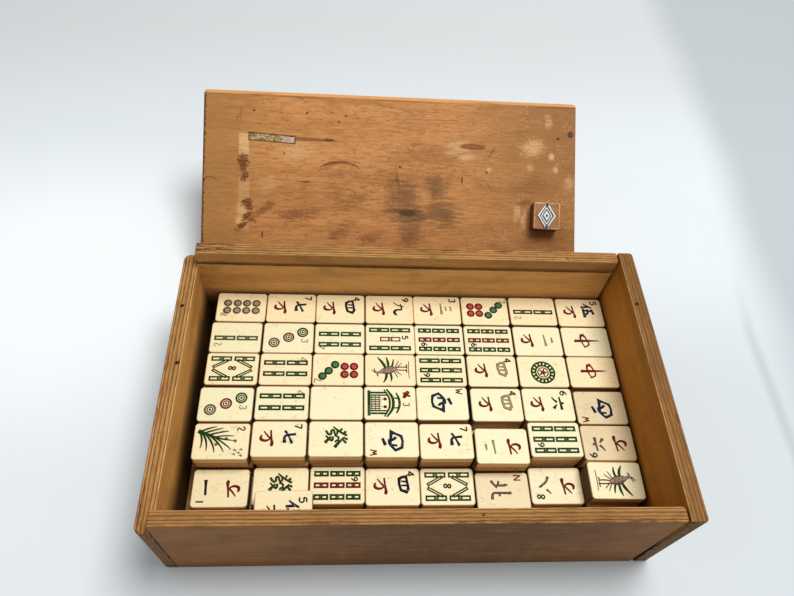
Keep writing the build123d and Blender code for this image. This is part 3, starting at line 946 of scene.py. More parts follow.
EMBLEMS = {
    "west": (
        ((-3.3, 3.5, 1.3), (0.7, 5.2, 1.0)),
        ((-3.3, 0.9, 0.9), (-6.2, -1.9, 1.0), (-4.6, -5.5, 1.1), (-1.0, -5.9, 0.9), (1.9, -5.2, 1.1),
         (3.2, -2.4, 0.9), (4.5, 0.3, 1.3), (-3.3, 0.9, 0.9)),
        ((-3.1, 0.6, 0.8), (-3.5, -2.9, 0.9)),
        ((-0.7, 2.3, 1.1), (-0.5, -1.4, 0.9), (1.5, -2.2, 1.2)),
        ((-2.9, 1.6, 0.7), (0.2, 1.8, 0.7)),
    ),
    "north": (
        ((-3.9, 2.2, 1.3), (-2.9, 1.9, 1.3)),
        ((-3.1, 1.8, 0.9), (-3.0, -3.6, 0.8)),
        ((-5.5, -1.8, 0.9), (-3.2, -2.5, 0.7)),
        ((-5.8, -6.2, 1.1), (-3.6, -4.6, 0.8), (-1.7, -3.1, 0.6)),
        ((0.4, 3.8, 1.2), (2.0, 3.9, 1.0)),
        ((1.2, 3.6, 0.9), (1.0, -3.0, 0.8), (1.1, -6.4, 0.9), (4.7, -6.2, 1.1)),
        ((1.2, -2.4, 0.6), (2.9, -1.8, 0.9)),
    ),
    "east": (
        ((-4.6, 4.2, 0.8), (4.4, 4.8, 1.1)),
        ((0.0, 6.8, 0.9), (-0.1, -6.8, 0.9)),
        ((-3.2, 2.4, 0.8), (-3.0, -1.6, 0.8), (3.0, -1.4, 0.8), (3.4, 2.6, 0.8), (-3.2, 2.4, 0.8)),
        ((-3.0, 0.4, 0.6), (3.0, 0.6, 0.6)),
        ((-0.6, -2.4, 0.9), (-5.0, -6.0, 0.5)),
        ((0.6, -2.4, 0.6), (5.0, -6.0, 1.2)),
    ),
    "south": (
        ((-4.0, 4.4, 0.8), (4.0, 4.9, 1.1)),
        ((0.0, 6.8, 1.0), (-0.2, 2.6, 0.8)),
        ((-4.6, 2.2, 0.8), (-4.8, -6.2, 0.9)),
        ((-4.6, 2.2, 0.8), (4.4, 2.6, 0.9), (4.6, -5.4, 1.0), (3.4, -6.2, 0.8)),
        ((-2.2, 1.2, 0.7), (-1.2, -0.4, 0.8)),
        ((2.2, 1.3, 0.7), (1.0, -0.4, 0.6)),
        ((-2.8, -1.2, 0.7), (2.8, -1.0, 0.8)),
        ((-2.8, -3.2, 0.7), (2.8, -3.0, 0.8)),
        ((0.0, -1.0, 0.8), (0.0, -6.0, 0.8)),
    ),
    "green": (
        ((-4.4, 5.4, 1.0), (-3.0, 4.2, 0.9)),
        ((-1.9, 6.1, 0.9), (-3.2, 2.6, 0.9), (-7.0, -1.6, 0.6)),
        ((-6.0, 3.3, 0.8), (-4.4, 2.2, 0.8)),
        ((0.4, 6.4, 0.9), (-0.6, 4.2, 0.7)),
        ((2.5, 5.6, 1.0), (0.6, 3.9, 0.8)),
        ((-0.9, 4.8, 0.8), (1.4, 1.8, 1.0), (5.0, -0.7, 1.3)),
        ((-5.2, 0.7, 0.8), (-2.5, 0.9, 0.8), (-2.7, -0.9, 0.8), (-5.1, -1.0, 0.8), (-5.2, -2.7, 0.9),
         (-2.3, -2.5, 0.9), (-2.6, -4.6, 0.9), (-4.8, -5.6, 0.9)),
        ((-1.2, 1.4, 0.8), (-1.5, -0.3, 0.7), (-2.0, -0.9, 0.5)),
        ((-1.2, 1.4, 0.8), (1.0, 1.4, 0.8), (1.0, -0.2, 0.8), (2.2, -0.3, 0.7)),
        ((-1.4, -1.8, 0.9), (1.6, -1.6, 0.9), (0.2, -3.8, 0.9), (-1.9, -5.6, 0.6)),
        ((-1.2, -2.8, 0.8), (0.6, -4.4, 0.9), (2.3, -6.0, 1.4)),
    ),
    "red": (
        ((-0.7, 8.3, 0.35), (-0.65, 4.0, 0.8), (-0.6, 0.0, 1.1), (-0.5, -6.6, 1.2)),
        ((-1.1, -6.0, 0.7), (-0.5, -7.2, 1.6), (0.3, -6.2, 0.7)),
        ((-5.1, -1.9, 1.6), (-3.8, -0.2, 0.7), (-0.7, 0.9, 0.6), (1.9, 1.7, 0.7), (3.4, 0.2, 0.6),
         (3.8, -2.1, 0.8)),
        ((-5.0, -1.9, 1.4), (-3.8, -3.2, 0.8), (-0.7, -3.1, 0.8), (1.6, -2.4, 0.6), (3.5, -1.5, 0.5)),
    ),
}

# Index figures, in a box one wide and 1.35 tall with its corner at 0, 0
FIGURES = {
    "1": (((0.5, 1.35), (0.5, 0.0)),),
    "2": (((0.1, 1.0), (0.3, 1.4), (0.8, 1.35), (0.85, 0.9), (0.1, 0.0), (0.95, 0.05)),),
    "3": (((0.1, 1.2), (0.5, 1.45), (0.95, 1.1), (0.45, 0.72), (0.95, 0.35), (0.5, -0.08), (0.05, 0.15)),),
    "4": (((0.72, 0.0), (0.72, 1.35)), ((0.72, 1.35), (0.05, 0.42)), ((0.05, 0.42), (1.0, 0.42))),
    "5": (((0.9, 1.33), (0.2, 1.33)), ((0.2, 1.33), (0.12, 0.75)),
          ((0.12, 0.75), (0.7, 1.0), (1.0, 0.4), (0.6, -0.08), (0.05, 0.12))),
    "6": (((0.8, 1.35), (0.2, 1.0), (0.0, 0.3), (0.5, -0.1), (1.0, 0.35), (0.6, 0.85), (0.1, 0.5)),),
    "7": (((0.05, 1.33), (0.92, 1.33)), ((0.92, 1.33), (0.4, 0.0))),
    "8": (((0.5, 0.72), (0.0, 1.05), (0.5, 1.45), (1.0, 1.05), (0.5, 0.72), (0.0, 0.3), (0.5, -0.08),
           (1.0, 0.3), (0.5, 0.72)),),
    "9": (((0.9, 0.9), (0.5, 0.5), (0.0, 0.95), (0.5, 1.45), (1.0, 1.0), (0.75, 0.4), (0.3, 0.0)),),
    "W": (((0.0, 1.35), (0.25, 0.0)), ((0.25, 0.0), (0.5, 0.9)), ((0.5, 0.9), (0.78, 0.0)),
          ((0.78, 0.0), (1.05, 1.35))),
    "N": (((0.05, 0.0), (0.05, 1.35)), ((0.05, 1.35), (0.9, 0.0)), ((0.9, 0.0), (0.9, 1.35))),
    "E": (((0.1, 0.0), (0.1, 1.35)), ((0.1, 1.35), (0.9, 1.35)), ((0.1, 0.7), (0.7, 0.7)),
          ((0.1, 0.0), (0.9, 0.0))),
    "S": (((0.9, 1.2), (0.5, 1.45), (0.0, 1.05), (0.9, 0.45), (0.5, -0.1), (0.05, 0.15)),),
}

DOT_PLACES = {
    2: ((0, 6.5), (0, -6.5)),
    3: ((-3.8, 8.2), (-0.3, 0.1), (3.4, -8.2)),
    4: ((-4, 6), (4, 6), (-4, -6), (4, -6)),
    5: ((-4.4, 7.5), (4.4, 7.5), (0, 0), (-4.4, -7.5), (4.4, -7.5)),
    6: ((-3.6, 8), (3.6, 8), (-3.6, -1.5), (3.6, -1.5), (-3.6, -8), (3.6, -8)),
    7: ((-4.4, 9.0), (-0.9, 5.5), (3.1, 1.9), (-3.2, -3.7), (2.0, -3.7), (-3.2, -9.1), (2.0, -9.1)),
    8: tuple((across, up) for up in (8.4, 2.6, -3.0, -8.7) for across in (-2.4, 2.9)),
    9: tuple((across, up) for up in (8.6, 0, -8.6) for across in (-5.4, 0, 5.4)),
}
DOT_PAINTS = {
    2: "green blue",
    3: "green red grey",
    4: "blue green green blue",
    5: "blue green red green blue",
    6: "green " * 2 + "red " * 4,
    7: "green " * 3 + "red " * 4,
    8: "grey " * 8,
    9: "green " * 3 + "red " * 3 + "blue " * 3,
}
STICK_PLACES = {
    2: ((-0.6, 6.4), (-0.6, -6.6)),
    3: ((0, 6.4), (-3.6, -6.4), (3.6, -6.4)),
    4: ((-4.1, 6.4), (3.1, 6.4), (-4.1, -6.6), (3.1, -6.6)),
    5: ((-6.4, 6.2), (6.2, 6.2), (0, 0), (-6.4, -6.6), (6.2, -6.6)),
    6: ((-6.4, 6.4), (0.1, 6.4), (6.4, 6.4), (-6.4, -6.4), (0.1, -6.4), (6.4, -6.4)),
    7: ((0, 9.2), (-6.3, 0.4), (0, 0.4), (6.3, 0.4), (-6.3, -8.2), (0, -8.2), (6.3, -8.2)),
    9: tuple((across, up) for up in (8.6, 0.0, -8.7) for across in (-6.4, 0.0, 6.4)),
}
# Where an index stands, if not in the usual corner
INDEX_PLACE = (-8.7, 8.0)
INDEX_PLACES = {
    "d3": (0.7, 7.7), "d7": (-8.7, 9.7), "d8": (-6.7, 8.1), "d9": (-9.6, 3.4),
    "b2": (-6.7, 8.0), "b3": (-8.4, 9.0), "b4": (-7.8, 7.8), "b5": (-2.5, 7.3),
    "b6": (-4.3, 6.9), "b7": (-8.4, 9.6), "b8": (-1.7, -1.9), "b9": (-4.6, 7.5),
    "c8": (-7.6, 7.4), "west": (-9.0, 8.2), "north": (-8.6, 6.8), "s3": (-0.3, 7.4),
}

# Brush strokes are drawn this much wider than the line down their middle was noted
BRUSH = 1.5


class Drawing:
    """The strokes of one tile face, in order; on a faded face some of them have other paints."""

    def __init__(self, faded=False):
        self.faded = faded
        self.strokes = []

    def stroke(self, paint, points, curved=True, closed=False):
        self.strokes.append((paint, points, curved, closed))

    def glyph(self, paint, strokes):
        """Brush strokes; one that ends where it began is a box with straight sides."""
        for points in strokes:
            box = points[0][:2] == points[-1][:2]
            if box:
                points = points[:-1]
            self.stroke(paint, tuple((a, b, width * BRUSH) for a, b, width in points), not box, box)

    def figure(self, paint, code, character, size=2.9, width=0.85):
        corner = INDEX_PLACES.get(code, INDEX_PLACE)
        for points in FIGURES[character]:
            placed = tuple((corner[0] + a * size, corner[1] + b * size, width) for a, b in points)
            self.stroke(paint, placed, len(placed) > 2)

    def ring(self, paint, centre, radius, width, sides=18):
        turn = 2 * math.pi / sides
        points = tuple(
            (centre[0] + radius * math.cos(turn * i), centre[1] + radius * math.sin(turn * i), width)
            for i in range(sides)
        )
        self.stroke(paint, points, False, True)

    def disc(self, paint, centre, radius, sides=12):
        self.ring(paint, centre, radius / 2, radius, sides)

    def coin(self, paint, centre, radius):
        """A ringed dot; the small ones have closed up almost to a disc."""
        line = 1.05 if radius > 3 else 0.8
        self.ring(paint, centre, radius - line / 2, line)
        if radius > 3:
            self.ring(paint, centre, 1.6, 0.75, 12)
            self.disc("navy", centre, 0.7, 6)
        else:
            self.disc(f"pale_{paint}", centre, radius - line)

    def stick(self, paint, centre, length, width, turn=0.0, line=1.15, knotted=True):
        """One bamboo stick: a thick outline, mostly with a knot in its middle."""
        cos, sin = math.cos(math.radians(turn)), math.sin(math.radians(turn))
        half_width, half_length = (width - line) / 2, (length - line) / 2

        def at(across, up, pen):
            return (centre[0] + across * cos - up * sin, centre[1] + across * sin + up * cos, pen)

        corners = ((-1, -1), (1, -1), (1, 1), (-1, 1))
        self.stroke(paint, tuple(at(a * half_width, b * half_length, line) for a, b in corners), False, True)
        if not knotted:
            return
        knot = length * 0.075
        for up in (-knot, knot):
            self.stroke(paint, (at(-half_width, up, 0.75), at(half_width, up, 0.75)), False)
        self.stroke(paint, (at(0, knot, 0.7), at(0, -knot, 0.7)), False)


def draw_dots(face, count):
    if count == 1:
        across = 0.6
        middle = (across, 0)
        face.ring("green", middle, 6.9, 1.1, 32)
        face.ring("green", middle, 4.5, 1.0, 24)
        for step in range(16):
            angle = step * math.pi / 8
            spoke = [(across + r * math.cos(angle), r * math.sin(angle), 1.35) for r in (4.7, 5.8, 7.0)]
            face.stroke("green", tuple(spoke), False)
        face.ring("green", middle, 3.1, 0.7, 18)
        for step in range(5):
            angle = step * math.pi * 0.4 + 0.3
            tip = (across + 2.4 * math.cos(angle), 2.4 * math.sin(angle), 0.8)
            face.stroke("red", ((*middle, 1.5), tip), False)
        return
    radius = {2: 3.6, 3: 3.35, 4: 3.4, 5: 3.2}.get(count, 2.55)
    for place, paint in zip(DOT_PLACES[count], DOT_PAINTS[count].split()):
        face.coin(paint, place, radius)
    face.figure("faint", f"d{count}", str(count), 2.8, 0.6)


def draw_bamboo(face, count):
    if count == 1:
        draw_bird(face)
        return
    if count == 8:
        for up in (6.6, -6.5):
            for across in (-6.5, 6.4):
                face.stick("green", (across, up), 11.8, 3.1, line=1.0)
            lean = 29 if up > 0 else -29
            face.stick("green", (-3.2, up * 1.05), 9.8, 2.0, -lean, 0.8, False)
            face.stick("green", (3.1, up * 1.05), 9.8, 2.0, lean, 0.8, False)
        face.figure("ink", "b8", "8", 2.8, 0.9)
        return
    small = count in (7, 9)
    for index, (across, up) in enumerate(STICK_PLACES[count]):
        red = (count, index) in ((5, 2), (7, 0)) or (count == 9 and across == 0.0)
        paint = "red" if red else "moss" if face.faded else "green"
        face.stick(paint, (across, up), 8.0 if small else 12.3, 3.2, line=0.8 if red and count == 5 else 1.15)
    if count in (5, 6, 9):
        face.figure("ink", f"b{count}", str(count), 2.5, 0.75)
    else:
        face.figure("grey", f"b{count}", str(count), 3.0, 0.45)


def draw_character(face, count):
    face.glyph("red", MYRIAD)
    paint = {1: "ink", 2: "grey", 3: "grey", 4: "navy", 6: "ink", 8: "grey", 9: "navy"}.get(count, "blue")
    if face.faded:
        paint = "grey" if count == 6 else "faint"
    face.glyph(paint, NUMERALS[count])
    if count != 2:
        face.figure("ink" if count in (3, 5) else "olive", f"c{count}", str(count))


def draw_bird(face):
    """A perched bird with its wings half open."""
    face.glyph("rose", (
        ((-1.4, 6.4, 0.8), (-0.6, 2.8, 3.6), (0.4, -0.8, 3.6), (1.2, -4.0, 0.8)),
        ((-1.6, 5.6, 0.9), (-2.0, 7.6, 1.3), (-1.6, 8.6, 0.7)),
    ))
    face.glyph("green", (
        ((-1.4, 2.6, 0.8), (-4.4, 1.4, 1.6), (-8.4, 4.2, 0.3)),
        ((-1.0, 0.6, 0.7), (-4.0, -1.2, 1.3), (-7.6, -0.4, 0.3)),
        ((1.0, 2.8, 0.8), (4.4, 3.6, 1.7), (8.4, 7.6, 0.3)),
        ((1.4, 1.2, 0.7), (4.8, 0.8, 1.5), (8.6, 2.4, 0.3)),
        ((1.4, -0.6, 0.6), (4.2, -1.8, 1.1), (7.2, -2.0, 0.3)),
        ((-1.8, 8.6, 0.4), (-1.2, 10.0, 0.5), (0.2, 10.8, 0.3)),
        ((-1.6, 8.4, 0.4), (-0.4, 9.2, 0.5), (1.0, 9.4, 0.3)),
    ))
    face.glyph("grey", (
        ((0.6, -3.0, 0.4), (2.4, -4.6, 0.5), (4.6, -6.8, 0.3)),
        ((1.2, -2.6, 0.4), (3.4, -3.6, 0.5), (6.0, -5.0, 0.3)),
        ((-0.4, -2.8, 0.4), (-1.6, -4.4, 0.5), (-3.4, -6.6, 0.3)),
        ((-0.8, -2.0, 0.4), (-2.6, -3.0, 0.5), (-5.0, -4.4, 0.3)),
        ((-5.6, -11.0, 0.3), (0.0, -10.5, 0.4), (5.8, -11.0, 0.3)),
    ))
    face.glyph("red", (
        ((-2.6, 7.8, 0.7), (-4.4, 7.0, 0.4)),
        ((0.2, -3.4, 0.5), (-0.3, -6.0, 0.5), (0.0, -9.4, 0.5)),
        ((1.6, -3.2, 0.5), (2.1, -6.0, 0.5), (1.9, -9.4, 0.5)),
        ((-1.8, -9.6, 0.45), (0.6, -9.5, 0.5)),
        ((0.9, -9.8, 0.45), (3.8, -9.5, 0.5)),
    ))
    spots = ((-0.9, 3.6), (0.3, 3.0), (-0.5, 1.6), (0.8, 1.0), (0.0, -0.4), (1.1, -1.2))
    face.glyph("spot", tuple(((a - 0.25, b, 0.6), (a + 0.25, b, 0.6)) for a, b in spots))


def draw_flower(face, count):
    """A leaning spray of narrow leaves with a few small blossoms."""
    side = 1 if count % 2 else -1
    face.glyph("green", tuple(
        tuple((a * side, b, width) for a, b, width in points)
        for points in (
            ((5.8, -12.4, 0.9), (3.4, -6.0, 0.9), (1.0, 0.0, 0.7), (0.4, 7.0, 0.3)),
            ((5.6, -12.0, 0.7), (1.4, -9.4, 0.9), (-4.0, -10.6, 0.3)),
            ((5.0, -10.6, 0.7), (0.6, -7.0, 1.0), (-5.4, -7.4, 0.3)),
            ((4.4, -9.0, 0.6), (-0.4, -4.0, 1.0), (-6.4, -3.0, 0.3)),
            ((3.6, -7.0, 0.6), (-0.8, -0.6, 0.9), (-6.0, 1.8, 0.3)),
            ((2.6, -4.4, 0.5), (-1.2, 2.0, 0.8), (-4.6, 5.6, 0.3)),
            ((5.4, -11.6, 0.6), (7.4, -8.0, 0.9), (8.4, -3.0, 0.3)),
            ((4.6, -9.6, 0.6), (6.2, -5.0, 0.9), (7.6, 0.4, 0.3)),
            ((3.6, -7.0, 0.6), (5.2, -1.6, 0.9), (5.8, 3.6, 0.3)),
            ((2.4, -4.0, 0.5), (3.4, 1.6, 0.7), (3.0, 6.6, 0.3)),
            ((5.8, -12.8, 1.4), (4.8, -10.4, 2.0), (3.6, -8.0, 0.8)),
        )
    ))
    for across, up in ((-1.8, -2.6), (1.4, 2.6), (0.2, 7.4)):
        for step in range(5):
            angle = step * math.pi * 0.4 + 0.4
            tip = (across * side + 1.0 * math.cos(angle), up + 1.0 * math.sin(angle), 0.6)
            face.stroke("red", ((across * side, up, 0.5), tip), False)
    face.figure("red", f"f{count}", str(count), 2.9, 0.75)
    for across, up in ((4.6, 10.8), (6.4, 9.6), (8.0, 10.9), (5.0, 7.6), (7.2, 7.2)):
        face.stroke("grey", ((across - 0.8, up, 0.45), (across + 0.8, up + 0.5, 0.45)), False)
        face.stroke("grey", ((across, up - 1.0, 0.45), (across + 0.1, up + 1.0, 0.45)), False)


def draw_season(face, count):
    """A garden gate under a double roof, with two lanterns."""
    face.glyph("green", (
        ((-8.6, -2.0, 0.6), (-4.4, 1.4, 1.1), (0.0, 2.0, 1.1), (4.4, 1.4, 1.1), (8.6, -2.0, 0.6)),
        ((-8.4, -3.4, 0.5), (-4.2, -0.6, 0.8), (0.0, 0.0, 0.8), (4.2, -0.6, 0.8), (8.4, -3.4, 0.5)),
        ((-6.4, 3.4, 0.5), (-3.0, 5.4, 1.0), (3.0, 5.4, 1.0), (6.4, 3.4, 0.5)),
        ((-7.8, -12.0, 1.1), (7.8, -12.0, 1.1)),
        ((-6.4, -2.4, 0.8), (-6.4, -11.6, 0.8)),
        ((-4.8, -1.8, 0.6), (-4.8, -11.6, 0.6)),
        ((6.4, -2.4, 0.8), (6.4, -11.6, 0.8)),
        ((4.8, -1.8, 0.6), (4.8, -11.6, 0.6)),
        ((-3.2, 2.4, 0.6), (-2.8, 4.8, 0.6)),
        ((3.2, 2.4, 0.6), (2.8, 4.8, 0.6)),
    ))
    for across in (-3.4, -2.0, -0.7, 0.7, 2.0, 3.4):
        face.stroke("grey", ((across, -5.4, 0.75), (across, -11.2, 0.75)), False)
    for up in (-6.2, -8.4, -10.4):
        face.stroke("grey", ((-4.4, up, 0.5), (4.4, up, 0.5)), False)
    for across in (-2.4, 2.4):
        face.disc("red", (across, -2.8), 1.0)
        face.stroke("red", ((across, -3.6, 0.4), (across, -4.9, 0.4)), False)
    face.glyph("red", (
        ((-7.4, 10.6, 1.3), (-5.0, 9.2, 1.9), (-3.2, 7.6, 1.0)),
        ((-6.6, 7.6, 0.9), (-5.0, 9.0, 1.0), (-4.2, 11.6, 0.8)),
    ))
    face.figure("ink", f"s{count}", str(count), 2.6, 0.55)


SUITS = {"d": draw_dots, "b": draw_bamboo, "c": draw_character, "f": draw_flower, "s": draw_season}
EMBLEM_PAINTS = {"north": "grey", "green": "green", "red": "red"}


def draw_face(code):
    """The drawing for a code such as c7; a tilde marks a faded face."""
    face = Drawing(code.endswith("~"))
    code = code.rstrip("~")
    if code in EMBLEMS:
        face.glyph(EMBLEM_PAINTS.get(code, "blue"), EMBLEMS[code])
        if code not in ("green", "red"):
            face.figure("red", code, code[0].upper(), 2.9, 0.7)
    elif code != "white":
        SUITS[code[0]](face, int(code[1]))
    return face


# How the tiles in view lie, from left to right; a tilde marks a faded one and a slash one turned half round
DEAL = {
    "top_row_1": "d8/ c7 c4 c9 c3~ d7 b2/ c5",
    "top_row_2": "b2~/ d3 b4/ b5 b9/ b9/ c2~ red",
    "top_row_3": "b8 b4 d7/ b1/ b6/ c4~ d1 red",
    "top_row_4": "d3 b4 white s3 west c4~ c6 west/",
    "top_row_5": "f2 c7 green west/ c7 c2~/ b6/ c6~/",
    "front_row": "c1/ green b9 c4 b8 north c8/ c1",
    "corner_tile": "b1",
    "loose_tile": "c5",
}
HIDDEN = ("middle_layer", "bottom_layer", "edge_tiles")
# How far to the right of their usual place a group's marks are, in millimetres
SHIFTS = {"loose_tile": 1.7}
# Tiles darker than their neighbours, by their place in the row, and how much: the north wind in the front row
# is a tanner tile, and the last tiles of the fourth and fifth rows get painted shade from the right wall
TANNED_AND_SHADED = {"front_row": {5: 0.4}, "top_row_4": {7: 0.7}, "top_row_5": {7: 0.7}}
# How much of the warm tint each row has, and the rows whose front sides stand close behind the next row and
# get painted shade
WARMTH = {"top_row_1": 0.75, "top_row_2": 0.15, "top_row_3": 0.7, "top_row_4": 0.15, "top_row_5": 0.3}
USUAL_WARMTH = 0.4
PACKED_TIGHT = ("top_row_1", "top_row_2", "top_row_3", "top_row_4")

# Tiles whose faces don't look up
STANDING = {"edge_tiles_faces": Vector((0, -1, 0))}

# A tile's face in its mesh: how squarely it looks outward, how flat it is, its least area, and the depth of a
# row of tiles
FLAT_OUT = 0.97
SAME_PLANE = 0.9999
FACE_AREA = 0.0002
ROW_DEPTH = 0.02


def full_set():
    """All one hundred and forty-four tiles."""
    numbers = [f"{suit}{n}" for suit in "dbc" for n in range(1, 10)]
    honours = ["east", "south", "west", "north", "red", "green", "white"]
    return (numbers + honours) * 4 + [f"{kind}{n}" for kind in "fs" for n in range(1, 5)]


def shuffled_rest(seed):
    """The tiles that aren't in view, in the order that they fill the hidden layers."""
    rest = full_set()
    for row in DEAL.values():
        for code in row.split():
            rest.remove(code.rstrip("/~"))
    draw = random.Random(seed)
    draw.shuffle(rest)
    return [code + draw.choice(("", "/")) for code in rest]


def tile_frames(node):
    """For each tile in a node of bone faces, a matrix at the middle of its face: x along it, z out of it."""
    mesh = bmesh.new()
    mesh.from_mesh(frame["nodes"][node].data)
    bmesh.ops.remove_doubles(mesh, verts=mesh.verts, dist=1e-6)
    outward = STANDING.get(node, Vector((0, 0, 1)))
    left = {face for face in mesh.faces if face.normal.dot(outward) > FLAT_OUT}
    frames = []
    while left:
        start = left.pop()
        flat, edge = [start], [start]
        while edge:
            for side in edge.pop().edges:
                for other in side.link_faces:
                    if other in left and other.normal.dot(start.normal) > SAME_PLANE:
                        left.discard(other)
                        flat.append(other)
                        edge.append(other)
        if sum(face.calc_area() for face in flat) > FACE_AREA:
            frames.append(face_frame(flat))
    mesh.free()
    return sorted(frames, key=lambda matrix: (-round(matrix.translation.y / ROW_DEPTH), matrix.translation.x))


def face_frame(flat):
    """The frame of a tile's flat face."""
    area = sum(face.calc_area() for face in flat)
    centre = sum((face.calc_center_median() * face.calc_area() for face in flat), Vector()) / area
    normal = sum((face.normal * face.calc_area() for face in flat), Vector()).normalized()
    x_axis = (Vector((1, 0, 0)) - normal * normal.x).normalized()
    y_axis = normal.cross(x_axis)
    spread = [vertex.co - centre for vertex in {vertex for face in flat for vertex in face.verts}]
    xx = sum(point.dot(x_axis) ** 2 for point in spread)
    yy = sum(point.dot(y_axis) ** 2 for point in spread)
    xy = sum(point.dot(x_axis) * point.dot(y_axis) for point in spread)
    turn = 0.5 * math.atan2(2 * xy, xx - yy)
    along = x_axis * math.cos(turn) + y_axis * math.sin(turn)
    matrix = Matrix((along, normal.cross(along), normal)).transposed().to_4x4()
    matrix.translation = centre
    return matrix


def clear_selection():
    for thing in bpy.context.selected_objects:
        thing.select_set(False)


def choose(*things):
    clear_selection()
    for thing in things:
        thing.select_set(True)
    bpy.context.view_layer.objects.active = things[0]


# Paint that lies on other paint, and how high, in millimetres
RAISED = {"spot": 0.14}

# The sharpest turn of a closed stroke whose corner is still drawn to its full point
SHARPEST = math.radians(110)


def mitres(points):
    """How much wider a closed stroke is at each corner, for its sides to keep their width."""
    places = [place for place, _ in points]
    for before, here, after in zip(places[-1:] + places[:-1], places, places[1:] + places[:1]):
        yield 1 / math.cos(min((here - before).angle(after - here), SHARPEST) / 2)


def add_spline(curve, points, curved, closed):
    spline = curve.splines.new("NURBS" if curved else "POLY")
    spline.points.add(len(points) - 1)
    wider = mitres(points) if closed else itertools.repeat(1.0)
    for point, (place, width), more in zip(spline.points, points, wider):
        point.co = (*place, 1.0)
        point.radius = width * more
    if curved:
        spline.order_u = 3
        spline.use_endpoint_u = True
        spline.resolution_u = 3
    spline.use_cyclic_u = closed


def paint_group(name, body, frames, codes, marks, paints, shift=0.0):
    """Paints the marks of one group of tiles as flat strokes on their faces, moved by shift to the right."""
    base = frames[0]
    inward = base.inverted()
    by_paint = {}
    for matrix, code in zip(frames, codes):
        side = -1 if code.endswith("/") else 1
        to_base = inward @ matrix
        for paint, points, curved, closed in draw_face(code.rstrip("/")).strokes:
            rise = RAISED.get(paint, 0.0) * MM / marks.thickness
            placed = []
            for across, up, width in points:
                spot = Vector((side * up * MM, -side * (across + shift) * MM, rise))
                placed.append((to_base @ spot, width))
            by_paint.setdefault(paint, []).append((placed, curved, closed))
    pieces = []
    for paint, strokes in by_paint.items():
        curve = bpy.data.curves.new(f"{name}_{paint}", "CURVE")
        curve.dimensions = "3D"
        curve.twist_mode = "Z_UP"
        curve.bevel_depth = 0.5 * MM
        curve.bevel_resolution = 0
        curve.use_fill_caps = True
        for points, curved, closed in strokes:
            add_spline(curve, points, curved, closed)
        piece = bpy.data.objects.new(f"{name}_{paint}", curve)
        bpy.context.collection.objects.link(piece)
        choose(piece)
        bpy.ops.object.convert(target="MESH")
        piece.data.materials.clear()
        piece.data.materials.append(paints[paint])
        pieces.append(piece)
    choose(*pieces)
    bpy.ops.object.join()
    painted = bpy.context.view_layer.objects.active
    painted.name = name
    painted.scale.z = marks.thickness
    bpy.ops.object.transform_apply(location=False, rotation=False, scale=True)
    painted.matrix_world = base @ Matrix.Translation((0, 0, marks.lift))
    bpy.ops.object.transform_apply(location=True, rotation=True, scale=True)
    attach(painted, body)


def body_of(node):
    for body, nodes in frame["record"]["behaviour"]["bodies"].items():
        if node in nodes:
            return body
    raise ValueError(f"no body holds {node}")


def dress(node, material):
    """Gives a CAD node its finish."""
    slots = frame["nodes"][node].material_slots
    for slot in slots:
        slot.link = "DATA"
        slot.material = material
    if not slots:
        frame["nodes"][node].data.materials.append(material)


def add_label():
    """Lays the remnant of the label on the lid: a thin sheet with a torn edge."""
    clear_selection()
    bpy.ops.mesh.primitive_grid_add(x_subdivisions=24, y_subdivisions=4, size=1.0, location=(0, 0, 0))
    label = bpy.context.object
    label.name = "label_remnant"
    draw = random.Random(LABEL_SEED)
    for vertex in label.data.vertices:
        rim = max(abs(vertex.co.x), abs(vertex.co.y)) > 0.49
        torn = LABEL_TORN if rim else 0.0
        vertex.co.x = (vertex.co.x * LABEL_SIZE[0] + draw.uniform(-torn, torn)) * MM
        vertex.co.y = (vertex.co.y * LABEL_SIZE[1] + draw.uniform(-torn, torn)) * MM
    label.data.materials.append(label_paper())
    thicken = label.modifiers.new("thickness", "SOLIDIFY")
    thicken.thickness = LABEL_THICKNESS * MM
    thicken.offset = 1.0
    choose(label)
    bpy.ops.object.modifier_apply(modifier=thicken.name)
    lid = Matrix.Translation(Vector((LID_LEFT, LID_FOOT, 0)) * MM) @ Matrix.Rotation(LID_LEAN, 4, "X")
    middle = Matrix.Translation(Vector((*LABEL_MIDDLE, LID_THICKNESS)) * MM)
    label.matrix_world = lid @ middle @ Matrix.Rotation(LABEL_TURN, 4, "Z")
    bpy.ops.object.transform_apply(location=True, rotation=True, scale=True)
    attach(label, body_of("lid_panel"))


# ---------------------------------------------------------------- operators


class MAHJONG_OT_case(bpy.types.Operator):
    """Finish the plywood walls and the bottom board"""

    bl_idname = "mahjong.case"
    bl_label = "Case"

    def execute(self, context):
        wood = context.scene.mahjong_wood
        # The inner faces' colours carry painted light and shade: the back wall's is lighter, where the bright
        # tiles light it, and the right wall's is darker and more saturated, in its own shade
        for node, thickness_axis, hue, age, torn, dents in (
            ("front_wall", 1, wood.veneer, 0.22, None, ()),
            ("back_wall", 1, (228, 174, 106), 0.1, TORN_PLIES, ()),
            ("left_end_wall", 0, (202, 148, 80), 0.08, None, LEFT_DENTS),
            ("right_end_wall", 0, (184, 122, 42), 0.38, None, RIGHT_DENTS),
        ):
            dress(node, plywood(node, wood, thickness_axis, hue, age, torn, dents))
        dress("bottom_panel", bottom_board(wood))
        steel = dark_steel()
        for node in ("wall_nails", "bottom_nails", "lid_nail", "knob_screws"):
            dress(node, steel)
        return {"FINISHED"}


class MAHJONG_OT_lid(bpy.types.Operator):
    """Finish the lid, its knob and its badge"""

    bl_idname = "mahjong.lid"
    bl_label = "Lid"

    def execute(self, context):
        wood = context.scene.mahjong_wood
        dress("lid_panel", lid_varnish(wood))
        dress("knob_block", knob_varnish(wood))
        dress("badge_plate", badge_metal())
        dress("badge_nails", dark_steel())
        add_label()
        return {"FINISHED"}


